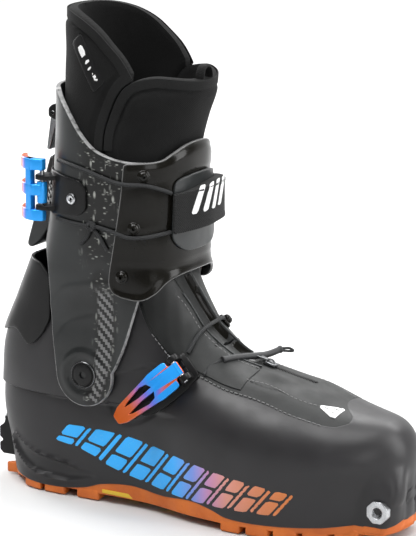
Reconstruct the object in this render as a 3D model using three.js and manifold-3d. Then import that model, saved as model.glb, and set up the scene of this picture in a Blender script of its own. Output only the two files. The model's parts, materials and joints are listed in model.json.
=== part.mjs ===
// Alpine touring boot for a right foot: sole, clog, gaiter, walking cuff, liner, buckles and cables.
// Millimetres. +X runs from heel to toe, +Y to the medial side and +Z up; the lugs stand on z = 0.

import * as THREE from "three";
import { mergeVertices } from "three/addons/utils/BufferGeometryUtils.js";
import Module from "manifold-3d";

const wasm = await Module();
wasm.setup();

// ---------------------------------------------------------------- driving dimensions

const soleLength = 289; // heel to toe at the widest height of the shell
const bootHeight = 311; // ground to the rear peak of the liner
const ballHalfWidth = 51; // clog, centre plane to the side of the ball
const heelHalfWidth = 33.5;
const toeHalfWidth = 46; // before the toe rounds off
const ankleHalfWidth = 37.2; // clog, at the pivots
const cuffHalfWidth = 43.5; // cuff, at the calf

const pivotX = 80; // ankle pivot, from the heel
const pivotZ = 84;
const pivotDiameter = 9;
const pivotHeadDiameter = 18;

const shellBottom = 8.6; // underside of the clog
const treadThickness = 3.6; // sole rubber above its lugs
const lugHeight = 4.7;

const clogWall = 3.2;
const cuffWall = 3;
const tongueWall = 1.8;
const overlayWall = 1.6;
const gaiterWall = 1.4;
const linerFootWall = 5;
const linerCuffWall = 7;
const strapThickness = 2.4;
const strapWidth = 25;
const cordDiameter = 2.6;
const sleeveDiameter = 4;

const gap = 0.35; // between pieces that lie on each other
const runningGap = 0.7; // between the cuff and the clog
const frontDrum = 82; // the cuff's front clears this radius about the pivot
const rearDrum = 88.5; // the cuff's rear clears this one

const collarHeight = 150; // top of the clog side under the cuff
const linerFootHeight = 126;
const tongueHeight = 274;
const eyeletDiameter = 4; // hole in the Achilles plate
const toeSocketDiameter = 6;
const heelFittingThickness = 4;

// ---------------------------------------------------------------- colours

const finishes = {
  shell: { color: 0x1a1b1c, roughness: 0.45, metalness: 0 },
  carbon: { color: 0x26292a, roughness: 0.3, metalness: 0 },
  gloss: { color: 0x17181a, roughness: 0.25, metalness: 0 },
  fabric: { color: 0x111213, roughness: 0.9, metalness: 0 },
  gaiter: { color: 0x202223, roughness: 0.6, metalness: 0 },
  orange: { color: 0xd2571a, roughness: 0.55, metalness: 0 },
  lever: { color: 0x3a8fd0, roughness: 0.3, metalness: 0.2 },
  steel: { color: 0xb9bcbe, roughness: 0.3, metalness: 1 },
  foam: { color: 0x2b2b2b, roughness: 0.95, metalness: 0 },
  badge: { color: 0xe8e8e6, roughness: 0.4, metalness: 0 },
  inlay: { color: 0xd9b93a, roughness: 0.4, metalness: 0 },
};

// ---------------------------------------------------------------- solids

// A smooth curve y(x) through a few points, level beyond its ends.
function curveThrough(points) {
  const last = points.length - 1;
  const slope = (k) => {
    const [xa, ya] = points[Math.max(k - 1, 0)];
    const [xb, yb] = points[Math.min(k + 1, last)];
    return (yb - ya) / (xb - xa);
  };
  return (x) => {
    if (x <= points[0][0]) return points[0][1];
    if (x >= points[last][0]) return points[last][1];
    let i = 0;
    while (x > points[i + 1][0]) i += 1;
    const [x0, y0] = points[i];
    const [x1, y1] = points[i + 1];
    const width = x1 - x0;
    const t = (x - x0) / width;
    const s = 1 - t;
    const rise = slope(i) * width * t * s * s - slope(i + 1) * width * t * t * s;
    return y0 * (1 + 2 * t) * s * s + y1 * t * t * (3 - 2 * t) + rise;
  };
}

// The point between inside and outside where a field changes sign.
function crossing(field, inside, outside) {
  let a = inside;
  let b = outside;
  for (let i = 0; i < 40; i += 1) {
    const middle = (a + b) / 2;
    if (field(middle) < 0) a = middle;
    else b = middle;
  }
  return (a + b) / 2;
}

function solidOf(geometry) {
  const bare = geometry.clone();
  bare.deleteAttribute("normal");
  bare.deleteAttribute("uv");
  const merged = mergeVertices(bare, 1e-3);
  return new wasm.Manifold(
    new wasm.Mesh({
      numProp: 3,
      vertProperties: new Float32Array(merged.attributes.position.array),
      triVerts: new Uint32Array(merged.index.array),
    }),
  );
}

function geometryOf(solid) {
  const { vertProperties, triVerts } = solid.getMesh();
  const geometry = new THREE.BufferGeometry();
  geometry.setAttribute("position", new THREE.BufferAttribute(vertProperties, 3));
  geometry.setIndex(new THREE.BufferAttribute(triVerts, 1));
  geometry.computeVertexNormals();
  return geometry;
}

const join = (first, ...rest) => rest.reduce((whole, one) => whole.add(one), first);
const cut = (first, ...rest) => rest.reduce((whole, one) => whole.subtract(one), first);
const common = (first, ...rest) => rest.reduce((whole, one) => whole.intersect(one), first);

// A solid lofted from rings of equal length, each with its centre, from the lowest to the highest.
function loft(rings) {
  const count = rings[0].points.length;
  const positions = [];
  const index = [];
  for (const { points } of rings) for (const p of points) positions.push(...p);
  const ringCount = rings.length;
  for (let r = 0; r + 1 < ringCount; r += 1) {
    for (let j = 0; j < count; j += 1) {
      const a = r * count + j;
      const b = r * count + ((j + 1) % count);
      index.push(a, b, b + count, a, b + count, a + count);
    }
  }
  const bottom = ringCount * count;
  positions.push(...rings[0].centre, ...rings[ringCount - 1].centre);
  for (let j = 0; j < count; j += 1) {
    const next = (j + 1) % count;
    const top = (ringCount - 1) * count;
    index.push(bottom, next, j);
    index.push(bottom + 1, top + j, top + next);
  }
  const geometry = new THREE.BufferGeometry();
  geometry.setAttribute("position", new THREE.Float32BufferAttribute(positions, 3));
  geometry.setIndex(index);
  return solidOf(geometry);
}

// A side outline (points of x, z), extruded across the boot from y = from to y = to.
function prism(outline, from = -90, to = 90) {
  const shape = outline instanceof THREE.Shape ? outline : new THREE.Shape(
    outline.map(([x, z]) => new THREE.Vector2(x, z)),
  );
  const options = { depth: to - from, bevelEnabled: false, curveSegments: 8 };
  const geometry = new THREE.ExtrudeGeometry(shape, options);
  geometry.rotateX(Math.PI / 2);
  geometry.translate(0, to, 0);
  return solidOf(geometry);
}

// A cylinder along the boot's width through (x, z).
function cross(x, z, diameter, from, to, sides = 20) {
  const geometry = new THREE.CylinderGeometry(diameter / 2, diameter / 2, to - from, sides);
  geometry.translate(x, (from + to) / 2, 0);
  geometry.translate(0, 0, z);
  return solidOf(geometry);
}

function box(low, high) {
  const size = high.map((value, k) => value - low[k]);
  const geometry = new THREE.BoxGeometry(...size);
  geometry.translate(...low.map((value, k) => value + size[k] / 2));
  return solidOf(geometry);
}

// A round tube along points that it passes through.
function tube(points, diameter, steps, sides = 8) {
  const path = new THREE.CatmullRomCurve3(points.map((p) => new THREE.Vector3(...p)));
  const section = new THREE.Shape();
  for (let j = 0; j < sides; j += 1) {
    const angle = (2 * Math.PI * j) / sides;
    const at = [(diameter / 2) * Math.cos(angle), (diameter / 2) * Math.sin(angle)];
    if (j) section.lineTo(...at);
    else section.moveTo(...at);
  }
  return solidOf(new THREE.ExtrudeGeometry(section, { steps, extrudePath: path }));
}

// ---------------------------------------------------------------- the boot's two forms

const toeSpan = soleLength - pivotX;
const ahead = (fraction) => pivotX + fraction * toeSpan; // a place between the pivot and the toe

const waistZ = 42; // height where the foot form is longest
const heelLine = curveThrough([
  [8, 8], [28, 5], [45, 1], [57, 0], [73, 1], [97, 4], [123, 15.5], [150, 27.5], [165, 34],
]);
const toeSetback = curveThrough([[8, 10], [25, 7], [32, 4], [45, 0], [200, 0]]);
const lateralHalf = curveThrough([
  [0, heelHalfWidth], [0.28, heelHalfWidth + 0.5], [0.42, heelHalfWidth + 3],
  [0.55, ballHalfWidth - 5], [0.68, ballHalfWidth], [0.84, ballHalfWidth - 2], [1, toeHalfWidth],
]);
const medialHalf = curveThrough([
  [0, heelHalfWidth], [0.28, heelHalfWidth + 0.5], [0.42, heelHalfWidth + 1.5],
  [0.55, ballHalfWidth - 10], [0.7, ballHalfWidth - 2.5], [0.84, ballHalfWidth - 2], [1, toeHalfWidth],
]);
const roofLine = curveThrough([
  [pivotX, 106], [ahead(0.33), 102], [ahead(0.43), 96], [ahead(0.59), 88], [ahead(0.67), 84.5],
  [ahead(0.77), 77.5], [ahead(0.86), 73.5], [soleLength, 71],
]);
const ankleFront = curveThrough([
  [50, 160], [97, 158], [116, 147], [130, 138.5], [141, 133], [150, 129.5], [165, 125],
]);
const ankleHalf = curveThrough([
  [45, heelHalfWidth - 2], [70, ankleHalfWidth - 0.8], [84, ankleHalfWidth], [110, ankleHalfWidth - 0.6],
  [165, ankleHalfWidth - 1.5],
]);

// Rounds a plan outline off: 1 along the middle, 0 at the heel and the toe.
function endRound(f, bluntness) {
  const rear = Math.max(0, (0.21 - f) / 0.21);
  const front = Math.max(0, (f - 0.62) / 0.38);
  return Math.sqrt(Math.max(1e-6, 1 - rear ** 3 - front ** bluntness));
}

// Foot part of the clog and gaiter: below 0 inside, roughly a distance near the surface.
function footField(x, y, z, inset) {
  const rear = heelLine(z) + inset;
  const front = soleLength - toeSetback(z) - inset;
  const f = (x - rear) / (front - rear);
  if (f <= 0 || f >= 1) return Math.max(rear - x, x - front, 0.01);
  const half = y < 0 ? lateralHalf : medialHalf;
  const tuck = 0.06 * (Math.max(0, waistZ - z) / waistZ) ** 2;
  const width = Math.max(1, half(f) * (1 - tuck) - inset) * endRound(f, y < 0 ? 3.2 : 2.6);
  const fall = Math.max(0, (x - soleLength + 42) / 42);
  const roof = waistZ + (roofLine(x) - waistZ) * Math.sqrt(Math.max(1e-4, 1 - fall ** 5.5)) - inset;
  const up = Math.max(0, (z - waistZ) / (roof - waistZ));
  const lean = 3 * Math.max(0, f - 0.6); // the toe points a little to the medial side
  return ((Math.abs((y - lean) / width) ** 2.4 + up ** 2.4) ** (1 / 2.4) - 1) * width;
}

// Ankle part of the clog and gaiter.
function ankleField(x, y, z, inset) {
  const rear = heelLine(z) + inset;
  const front = ankleFront(z) - inset;
  const centre = (rear + front) / 2;
  const half = ankleHalf(z) - inset;
  const depth = (front - rear) / 2;
  const along = Math.abs((x - centre) / depth) ** 2.7;
  const across = Math.abs(y / half) ** 2.7;
  return ((along + across) ** (1 / 2.7) - 1) * half;
}

// The two parts melt into each other over a fillet.
function clogField(x, y, z, inset) {
  const foot = footField(x, y, z, inset);
  const ankle = ankleField(x, y, z, inset) + 40 * Math.max(0, (66 - z) / 20);
  const fillet = 13 * Math.min(1, Math.max(0, (x - pivotX - 20) / 35));
  const overlap = fillet ? Math.max(0, fillet - Math.abs(foot - ankle)) / fillet : 0;
  return Math.min(foot, ankle) - (overlap * overlap * fillet) / 4;
}

const cuffRear = curveThrough([[60, 38], [140, 37], [180, 41.5], [235, 45.5], [320, 46]]);
const cuffFront = curveThrough([[60, 136], [150, 136.5], [235, 137.5], [320, 138]]);
const cuffHalf = curveThrough([
  [60, 41.2], [100, 41.4], [150, cuffHalfWidth - 1.5], [200, cuffHalfWidth], [320, cuffHalfWidth + 1.5],
]);
const cuffSquare = curveThrough([[60, 5], [115, 4.2], [160, 2.9], [210, 2.35], [320, 2.2]]);

function cuffField(x, y, z, inset) {
  const rear = cuffRear(z) + inset;
  const front = cuffFront(z) - inset;
  const power = cuffSquare(z);
  const across = Math.abs(y / (cuffHalf(z) - inset)) ** power;
  const along = Math.abs((x - (rear + front) / 2) / ((front - rear) / 2)) ** power;
  return ((across + along) ** (1 / power) - 1) * cuffHalf(z);
}

// The liner fills the cuff, then leans forward above its rim.
const linerRear = curveThrough([[60, 41.5], [140, 40.5], [180, 45], [225, 49], [262, 52], [320, 52.5]]);
const linerFront = curveThrough([
  [60, 133], [150, 133], [222, 133.5], [245, 139.5], [266, 146.5], [320, 148],
]);
const linerHalf = curveThrough([[60, 37.8], [150, 38.5], [215, 39.9], [262, 39.5], [320, 36.5]]);

function linerField(x, y, z, inset) {
  const rear = linerRear(z) + inset;
  const front = linerFront(z) - inset;
  const power = cuffSquare(z);
  const across = Math.abs(y / (linerHalf(z) - inset)) ** power;
  const along = Math.abs((x - (rear + front) / 2) / ((front - rear) / 2)) ** power;
  return ((across + along) ** (1 / power) - 1) * linerHalf(z);
}

const forms = {
  clog: {
    field: clogField,
    count: 40,
    levels: [8, 20, 32, 43, 54, 61, 66, 70, 74, 78, 83, 88, 94, 101, 109, 119, 132, 146, 158],
  },
  sock: { field: clogField, count: 28, levels: [8, 26, 43, 58, 67, 74, 81, 88, 96, 108, 128, 150] },
  cuff: { field: cuffField, count: 36, levels: [62, 90, 120, 150, 175, 200, 225, 250, 285] },
  liner: { field: linerField, count: 28, levels: [90, 140, 180, 222, 245, 266, 316] },
};

// One level ring of a form, with its points spread as on an ellipse.
function ringAt(field, z, inset, count) {
  const at = (x) => field(x, 0, z, inset);
  const rear = crossing(at, pivotX, -40);
  const front = crossing(at, pivotX, soleLength + 40);
  const centre = (rear + front) / 2;
  const points = [];
  for (let j = 0; j < count; j += 1) {
    const angle = (2 * Math.PI * (j + 0.5)) / count;
    const along = ((front - rear) / 2) * Math.cos(angle);
    const across = ballHalfWidth * Math.sin(angle);
    const reach = crossing((s) => field(centre + s * along, s * across, z, inset), 0, 2.5);
    points.push([centre + reach * along, reach * across, z]);
  }
  return { points, centre: [centre, 0, z] };
}

const formCache = new Map();

// A form shrunk by inset (or grown, below 0), closed at the top and at its floor.
function formSolid(kind, inset, floor) {
  const key = [kind, inset, floor].join();
  if (!formCache.has(key)) {
    const { field, levels, count } = forms[kind];
    const heights = [floor, ...levels.filter((z) => z > floor + 2)];
    formCache.set(key, loft(heights.map((z) => ringAt(field, z, inset, count))));
  }
  return formCache.get(key);
}

// What lies between two offsets of a form.
function layer(kind, outer, inner, floor = 8, innerFloor = floor - 4) {
  return cut(formSolid(kind, outer, floor), formSolid(kind, inner, innerFloor));
}

// The side surface of a form at x, z; side is -1 lateral, +1 medial.
function sideY(kind, x, z, side, out = 0) {
  const { field } = forms[kind];
  return side * (crossing((y) => field(x, side * y, z, 0), 0, 90) + out);
}

// The outward direction of a form's surface at a point.
function normalAt(kind, [x, y, z]) {
  const { field } = forms[kind];
  const step = 1;
  const slope = (dx, dy, dz) =>
    field(x + dx, y + dy, z + dz, 0) - field(x - dx, y - dy, z - dz, 0);
  return new THREE.Vector3(slope(step, 0, 0), slope(0, step, 0), slope(0, 0, step)).normalize();
}

// Height of a form's upper surface over x, y.
function topZ(kind, x, y) {
  const { field } = forms[kind];
  return crossing((z) => field(x, y, z, 0), 45, 200);
}

// Places a flat solid on the side of a form: its z outward, its x along the direction (dx, dz).
function seat(kind, x, z, side, [dx, dz], out) {
  const normal = normalAt(kind, [x, sideY(kind, x, z, side), z]);
  const along = new THREE.Vector3(dx, 0, dz);
  along.addScaledVector(normal, -along.dot(normal)).normalize();
  const up = new THREE.Vector3().crossVectors(normal, along);
  const place = new THREE.Matrix4().makeBasis(along, up, normal);
  const point = new THREE.Vector3(x, sideY(kind, x, z, side), z).addScaledVector(normal, out);
  return place.setPosition(point);
}

const placed = (solid, matrix) => solid.transform(matrix.elements);

// A flat plate in its own frame, from z = 0 up; the outline is a list of points or a Shape.
function plate(outline, thickness) {
  const shape = outline instanceof THREE.Shape ? outline : new THREE.Shape(
    outline.map(([x, y]) => new THREE.Vector2(x, y)),
  );
  const options = { depth: thickness, bevelEnabled: false, curveSegments: 6 };
  return solidOf(new THREE.ExtrudeGeometry(shape, options));
}

// A rectangle with round corners, centred on its own origin.
function roundedRectangle(width, height, radius) {
  const [a, b, r] = [width / 2, height / 2, radius];
  const shape = new THREE.Shape();
  shape.moveTo(-a + r, -b);
  shape.lineTo(a - r, -b).absarc(a - r, -b + r, r, -Math.PI / 2, 0, false);
  shape.lineTo(a, b - r).absarc(a - r, b - r, r, 0, Math.PI / 2, false);
  shape.lineTo(-a + r, b).absarc(-a + r, b - r, r, Math.PI / 2, Math.PI, false);
  shape.lineTo(-a, -b + r).absarc(-a + r, -b + r, r, Math.PI, 1.5 * Math.PI, false);
  return shape;
}

// ---------------------------------------------------------------- scene graph

const boot = new THREE.Group();
const clog = new THREE.Group();
const cuff = new THREE.Group();
boot.add(clog, cuff);

function add(group, name, solid, finish) {
  const mesh = new THREE.Mesh(geometryOf(solid), new THREE.MeshStandardMaterial(finishes[finish]));
  mesh.name = name;
  group.add(mesh);
}

const sides = [["lateral", -1], ["medial", 1]];
const far = 400; // beyond the boot in every direction

// From a to b across the boot on one side, in rising order.
const span = (side, a, b) => [a * side, b * side].sort((low, high) => low - high);

// ---------------------------------------------------------------- clog

// Upper edge of the clog: where the gaiter is bonded on, seen from the side.
const seamPoints = [
  [ahead(0.775), 400], [ahead(0.775), 77.5], [ahead(0.83), 70], [ahead(0.775), 71], [ahead(0.7), 75],
  [ahead(0.57), 82], [ahead(0.455), 86], [ahead(0.397), 89.5], [ahead(0.335), 94.5], [ahead(0.268), 102],
  [ahead(0.206), 116], [ahead(0.172), 131], [ahead(0.155), collarHeight - 4], [pivotX, collarHeight - 6],
  [pivotX - 40, 124], [-30, 112], [-30, 400],
];

// Everything above the seam, drawn back from it all round.
function above(back) {
  const front = [[-2.5 * back, 0], [-2.5 * back, 0], [-4 * back, back]];
  return prism(seamPoints.map(([x, z], k) => {
    const [dx, dz] = front[k] || [0, 2 * back];
    return [x + dx, z + dz];
  }));
}

const toeFittingX = soleLength - 12;
const toeFittingZ = 20.5;
const toeFittingDiameter = 12;
const clogFloor = shellBottom + clogWall;
const heelScrewZ = 35;

function makeClog() {
  const shell = cut(
    formSolid("clog", 0, shellBottom),
    formSolid("clog", clogWall, clogFloor),
    above(0),
  );
  const bores = cross(pivotX, pivotZ, pivotDiameter + 2 * gap, -90, 90);
  const toeBore = cross(toeFittingX, toeFittingZ, toeFittingDiameter + 2 * gap, -90, 90, 16);
  const screwBore = lengthwise(heelScrewZ, 4 + 2 * gap, -20, 20);
  add(clog, "clog_shell", cut(shell, bores, toeBore, screwBore), "shell");
}

// A cylinder along the boot's length, on the centre plane at height z.
function lengthwise(z, diameter, from, to) {
  const geometry = new THREE.CylinderGeometry(diameter / 2, diameter / 2, to - from, 12);
  geometry.rotateZ(Math.PI / 2);
  geometry.translate((from + to) / 2, 0, z);
  return solidOf(geometry);
}

// The toe fitting is a steel bar through the toe, with a conical socket at each end.
function makeToeFitting() {
  const reach = 27;
  const bar = cross(toeFittingX, toeFittingZ, toeFittingDiameter, -reach, reach, 16);
  const sockets = [-1, 1].map((side) => {
    const cone = new THREE.CylinderGeometry(toeSocketDiameter / 2, 1, 5, 12);
    if (side < 0) cone.rotateZ(Math.PI);
    cone.translate(toeFittingX, side * (reach - 2.4), 0);
    cone.translate(0, 0, toeFittingZ);
    return solidOf(cone);
  });
  add(clog, "toe_fitting", cut(bar, ...sockets), "steel");
}

// The heel fitting is a steel plate with two open slots for the binding's pins.
function makeHeelFitting() {
  const outline = new THREE.Shape();
  outline.moveTo(-9, 16).lineTo(-5.5, 16).lineTo(-5.5, 24).lineTo(-2.5, 24).lineTo(-2.5, 16);
  outline.lineTo(2.5, 16).lineTo(2.5, 24).lineTo(5.5, 24).lineTo(5.5, 16).lineTo(9, 16);
  outline.lineTo(9, 44).lineTo(-9, 44);
  const hole = new THREE.Path().absarc(0, heelScrewZ, 2.4, 0, 2 * Math.PI, true);
  outline.holes.push(hole);
  const depth = 12;
  const geometry = new THREE.ExtrudeGeometry(outline, { depth, bevelEnabled: false, curveSegments: 6 });
  geometry.rotateX(Math.PI / 2);
  geometry.rotateZ(-Math.PI / 2);
  geometry.translate(depth - heelFittingThickness, 0, 0);
  const headDepth = 2.6; // the screw's head lies below the fitting's face
  const headSeat = lengthwise(heelScrewZ, 7.6 + 2 * gap, -20, headDepth - heelFittingThickness);
  const fitting = cut(solidOf(geometry), formSolid("clog", -gap, shellBottom - 4), headSeat);
  add(clog, "heel_fitting", fitting, "steel");
  const profile = [[0, 0], [2, 0], [2, 6.5], [3.8, 6.5], [3.8, 8.1], [1.2, 8.5], [1.2, 7.5], [0, 7.5]];
  const screw = new THREE.LatheGeometry(profile.map(([r, h]) => new THREE.Vector2(r, h)), 12);
  screw.rotateZ(Math.PI / 2);
  screw.translate(6.5 + headDepth - heelFittingThickness - gap, 0, heelScrewZ);
  add(clog, "heel_fitting_screw", solidOf(screw), "steel");
}

// Sole rubber: a tread that follows the clog's underside, with lugs round its edge.
function makeSole(name, fromX, toX, lugs) {
  const top = shellBottom - gap;
  const outline = ringAt(clogField, 45, -0.5, 48).points.map(([x, y]) => new THREE.Vector2(x, y));
  const slab = (depth, base, shrink) => {
    const shape = new THREE.Shape(outline.map((p) => new THREE.Vector2(
      pivotX + (p.x - pivotX) * (1 - shrink / 150), p.y * (1 - shrink / 50))));
    const geometry = new THREE.ExtrudeGeometry(shape, { depth, bevelEnabled: false });
    geometry.translate(0, 0, base);
    return solidOf(geometry);
  };
  const tread = common(
    slab(treadThickness, top - treadThickness, 0),
    box([fromX, -90, -1], [toX, 90, far]),
  );
  const rim = cut(slab(treadThickness + lugHeight, 0, -0.5), slab(far, -1, 13));
  const blocks = lugs.map(([x, length, low]) => {
    const side = [[x, top], [x + 1.5, low], [x + length - 1.5, low], [x + length, top]];
    return common(rim, prism(side));
  });
  const bars = lugs.filter((lug, k) => k % 2 === 0).map(([x, length, low]) => {
    const side = [[x + 2, top - 2], [x + 3, low], [x + length - 3, low], [x + length - 2, top - 2]];
    return prism(side, -16, 16);
  });
  add(clog, name, join(tread, ...blocks, ...bars), "orange");
}

function makeSoles() {
  const heelLugs = [[-2, 15, 0], [22, 14, 0], [43, 15, 0], [66, 16, 0]];
  const frontLugs = [[0.48, 1], [0.565, 0], [0.65, 0], [0.735, 0.5], [0.82, 2]].map(
    ([f, low]) => [ahead(f), 14, low],
  );
  const toeLug = [soleLength - 20, 16, 4];
  makeSole("outsole_heel", -6, pivotX + 4, heelLugs);
  makeSole("outsole_forefoot", ahead(0.46), soleLength + 6, [...frontLugs, toeLug]);
  const [rear, front, top] = [pivotX + 8, ahead(0.46) - 4, shellBottom - gap];
  for (const [name, side] of sides) {
    const bar = prism([[rear, 6.2], [front, 3.2], [front, top], [rear, top]], ...span(side, 16, 33));
    add(clog, "midfoot_inlay_" + name, bar, "inlay");
  }
}

// The boot board fills the clog's floor; the footbed lies in the liner. All stop short of the toe fitting.
function makeBoards() {
  const fittingReach = toeFittingDiameter / 2 + 1;
  const toeRoom = box([toeFittingX - fittingReach, -90, 0], [far, 90, toeFittingZ + fittingReach]);
  const slice = (inset, base, thickness) => common(
    formSolid("sock", inset, 8),
    box([-20, -90, base], [far, 90, base + thickness]),
  );
  const board = slice(clogWall + 1, clogFloor + gap, 3);
  add(clog, "boot_board", cut(board, toeRoom), "foam");
  const linerFloor = clogFloor + gap + 3 + gap;
  const outer = clogWall + 2 * gap;
  const sock = cut(
    formSolid("clog", outer, linerFloor),
    formSolid("sock", outer + linerFootWall, linerFloor + linerFootWall),
  );
  const rim = box([-30, -90, 0], [far, 90, linerFootHeight]);
  add(clog, "liner_foot", common(cut(sock, ankleBolts(), toeRoom), rim), "fabric");
  const footbed = slice(outer + linerFootWall + gap, linerFloor + linerFootWall + gap, 3);
  add(clog, "footbed", cut(footbed, toeRoom), "foam");
}

const boltInner = ankleHalfWidth - clogWall - 3.4; // inner face of the pivot nuts

function ankleBolts() {
  return cross(pivotX, pivotZ, pivotHeadDiameter + 2 * gap, -90, -boltInner + gap)
    .add(cross(pivotX, pivotZ, pivotHeadDiameter + 2 * gap, boltInner - gap, 90));
}

// Each ankle pivot is a flat-headed bolt from outside, held by a nut inside the clog.
function makePivots() {
  const nutOut = ankleHalfWidth - clogWall - 0.8;
  const headIn = cuffOuterAtPivot - 1;
  const bore = cross(pivotX, pivotZ, pivotDiameter + 2 * gap, -90, 90);
  for (const [name, side] of sides) {
    const stem = cross(pivotX, pivotZ, pivotDiameter, ...span(side, boltInner + 1, headIn + 0.6));
    const head = cross(pivotX, pivotZ, pivotHeadDiameter, ...span(side, headIn, headIn + 2));
    add(clog, "pivot_bolt_" + name, join(stem, head), "gloss");
    const ring = cross(pivotX, pivotZ, pivotHeadDiameter - 2, ...span(side, boltInner, nutOut));
    add(clog, "pivot_nut_" + name, cut(ring, bore), "steel");
  }
}

// The Achilles plate stands on the clog's rear rim, with an eyelet through its nose.
function makeAchillesPlate() {
  const plateOut = -2.2;
  const outline = [
    [1.5, 104], [1.5, 97], [12, 98], [16, 104], [25, 106], [36, 97],
    [41, 99], [48, 107], [53, 116], [53, 143], [46, 150], [27, 150],
  ];
  const wrap = common(layer("clog", plateOut, -gap, 80), prism(outline));
  const nose = prism([[2, 97], [11, 98], [14, 103], [22, 142], [14, 130], [2, 106]], -5, 5);
  const spare = formSolid("clog", -gap, 60);
  const eyelet = cross(7.6, 102, eyeletDiameter, -90, 90, 14);
  const reachable = cross(pivotX, pivotZ, 2 * (rearDrum - 1), -90, 90, 64);
  add(clog, "achilles_plate", cut(common(join(wrap, cut(nose, spare)), reachable), eyelet), "shell");
}

// ---------------------------------------------------------------- gaiter

const zipFrom = ahead(0.485);
const zipTo = ahead(0.665);
const zipY = 6; // the zip lies to the medial side of the ridge

function makeGaiter() {
  const bonded = layer("clog", 0, gaiterWall, 50);
  const drum = cross(pivotX, pivotZ, 2 * (frontDrum - 1), -90, 90, 64);
  const low = box([-30, -90, 0], [far, 90, 112]);
  const kept = box([pivotX + 24, -90, 0], [far, 90, collarHeight - 3]);
  add(clog, "gaiter", common(bonded, above(gap), kept, join(drum, low)), "gaiter");
}

// The zip runs along the instep ridge; its slider travels on it.
function makeZip() {
  const band = layer("clog", -1.4, -gap, 60);
  const along = box([zipFrom, zipY - 3, 60], [zipTo, zipY + 3, far]);
  add(clog, "gaiter_zipper", common(band, along), "fabric");
  const above = layer("clog", -3.4, -1.8, 60);
  const slider = common(above, box([zipFrom + 2, zipY - 2.6, 60], [zipFrom + 9, zipY + 2.6, far]));
  add(clog, "zipper_slider", slider, "steel");
}

function makeBadge() {
  const x = ahead(0.755);
  const skin = layer("clog", -1.2, -gap, 60);
  add(clog, "toe_badge", common(skin, box([x - 6, -17, 60], [x + 7, -5, far])), "badge");
}

// ---------------------------------------------------------------- instep buckle

const leverAxisX = ahead(0.32);
const leverAxisZ = 94;
const leverDirection = [-0.68, -0.735]; // from the axle to the lever's tip
const bracketHeight = 7;
const leverPin = 3;
const leverReach = 49;
const leverUnder = 4.6; // underside of the lever over the clog
const inlayThickness = 1.4;

// A rod along the buckle's own y, through its x and z.
function crossRod(x, z, diameter, width) {
  const rod = new THREE.CylinderGeometry(diameter / 2, diameter / 2, width, 14);
  rod.translate(x, 0, z);
  return solidOf(rod);
}

// The lever has three fingers between two bars and lies over its base, tip to the rear.
function makeInstepBuckle() {
  const corner = [leverAxisX - 2, leverAxisZ - 2];
  const place = seat("clog", ...corner, -1, leverDirection, gap + 0.5);
  const bore = crossRod(-1, bracketHeight, leverPin + 2 * gap, 60);
  const base = join(
    box([-9, -9.5, 0.4], [11, 9.5, 2]),
    box([-6, -9.5, 1], [4, -7.2, bracketHeight + 2]),
    box([-6, 7.2, 1], [4, 9.5, bracketHeight + 2]),
  );
  add(clog, "buckle_base", placed(cut(base, bore), place), "gloss");
  add(clog, "buckle_pin", placed(crossRod(-1, bracketHeight, leverPin, 21), place), "steel");
  const finger = (y) => plate(roundedRectangle(leverReach - 16, 5.6, 2.6), 3.2)
    .translate([leverReach / 2 + 6, y, leverUnder]);
  const bar = (x, width) => box([x, -9.6, leverUnder], [x + width, 9.6, leverUnder + 3.2]);
  const hub = box([-4.5, -6.6, leverUnder], [16, 6.6, bracketHeight + 2.4]);
  const lever = join(hub, finger(-6.9), finger(0), finger(6.9), bar(12, 6), bar(leverReach - 13, 8));
  add(clog, "instep_lever", placed(cut(lever, bore), place), "lever");
  const arrow = plate([[22, -8], [40, -8], [48, 0], [40, 8], [22, 8], [28, 0]], inlayThickness)
    .translate([0, 0, leverUnder - gap - inlayThickness]);
  add(clog, "buckle_inlay", placed(arrow, place), "gloss");
}

// ---------------------------------------------------------------- cuff

const cuffOuterAtPivot = cuffHalf(pivotZ);

// Seen from the side: rim, front edge, the arm round the pivot and the cut-out over the clog's rear.
function cuffOutline() {
  const arm = 20;
  const shape = new THREE.Shape();
  shape.moveTo(30, 262).lineTo(52, 262).lineTo(66, 250).lineTo(80, 233).lineTo(92, 224).lineTo(106, 221);
  shape.lineTo(126, 221).lineTo(124, 150).lineTo(118, 134).lineTo(108, 110);
  shape.lineTo(pivotX + arm + 2, pivotZ + 4);
  shape.absarc(pivotX, pivotZ, arm, 0, -Math.PI, true);
  shape.lineTo(57, 102).lineTo(55, 124).lineTo(52, 150).lineTo(30, 182);
  return shape;
}

const drums = () => {
  const width = ankleHalfWidth + runningGap;
  const front = cross(pivotX, pivotZ, 2 * frontDrum, -width, width, 64);
  const rear = cross(pivotX, pivotZ, 2 * rearDrum, -width, width, 64);
  const half = (low, high) => box([low, -90, -30], [high, 90, far]);
  return join(common(front, half(pivotX - 1, far)), common(rear, half(-60, pivotX)));
};

function makeCuffShell() {
  const wall = layer("cuff", 0, cuffWall, 62);
  const bolt = cross(pivotX, pivotZ, pivotDiameter + 2 * gap, -90, 90);
  const recess = sides.map(([, side]) => cross(
    pivotX, pivotZ, pivotHeadDiameter + 2 * gap, ...span(side, cuffOuterAtPivot - 1 - gap, 90),
  ));
  const lockSlot = box([0, -7, lockPinZ - 5.5], [60, 7, lockPinZ + 5.5]);
  const shell = cut(common(wall, prism(cuffOutline())), drums(), bolt, ...recess, lockSlot);
  add(cuff, "cuff_shell", shell, "carbon");
}

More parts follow.
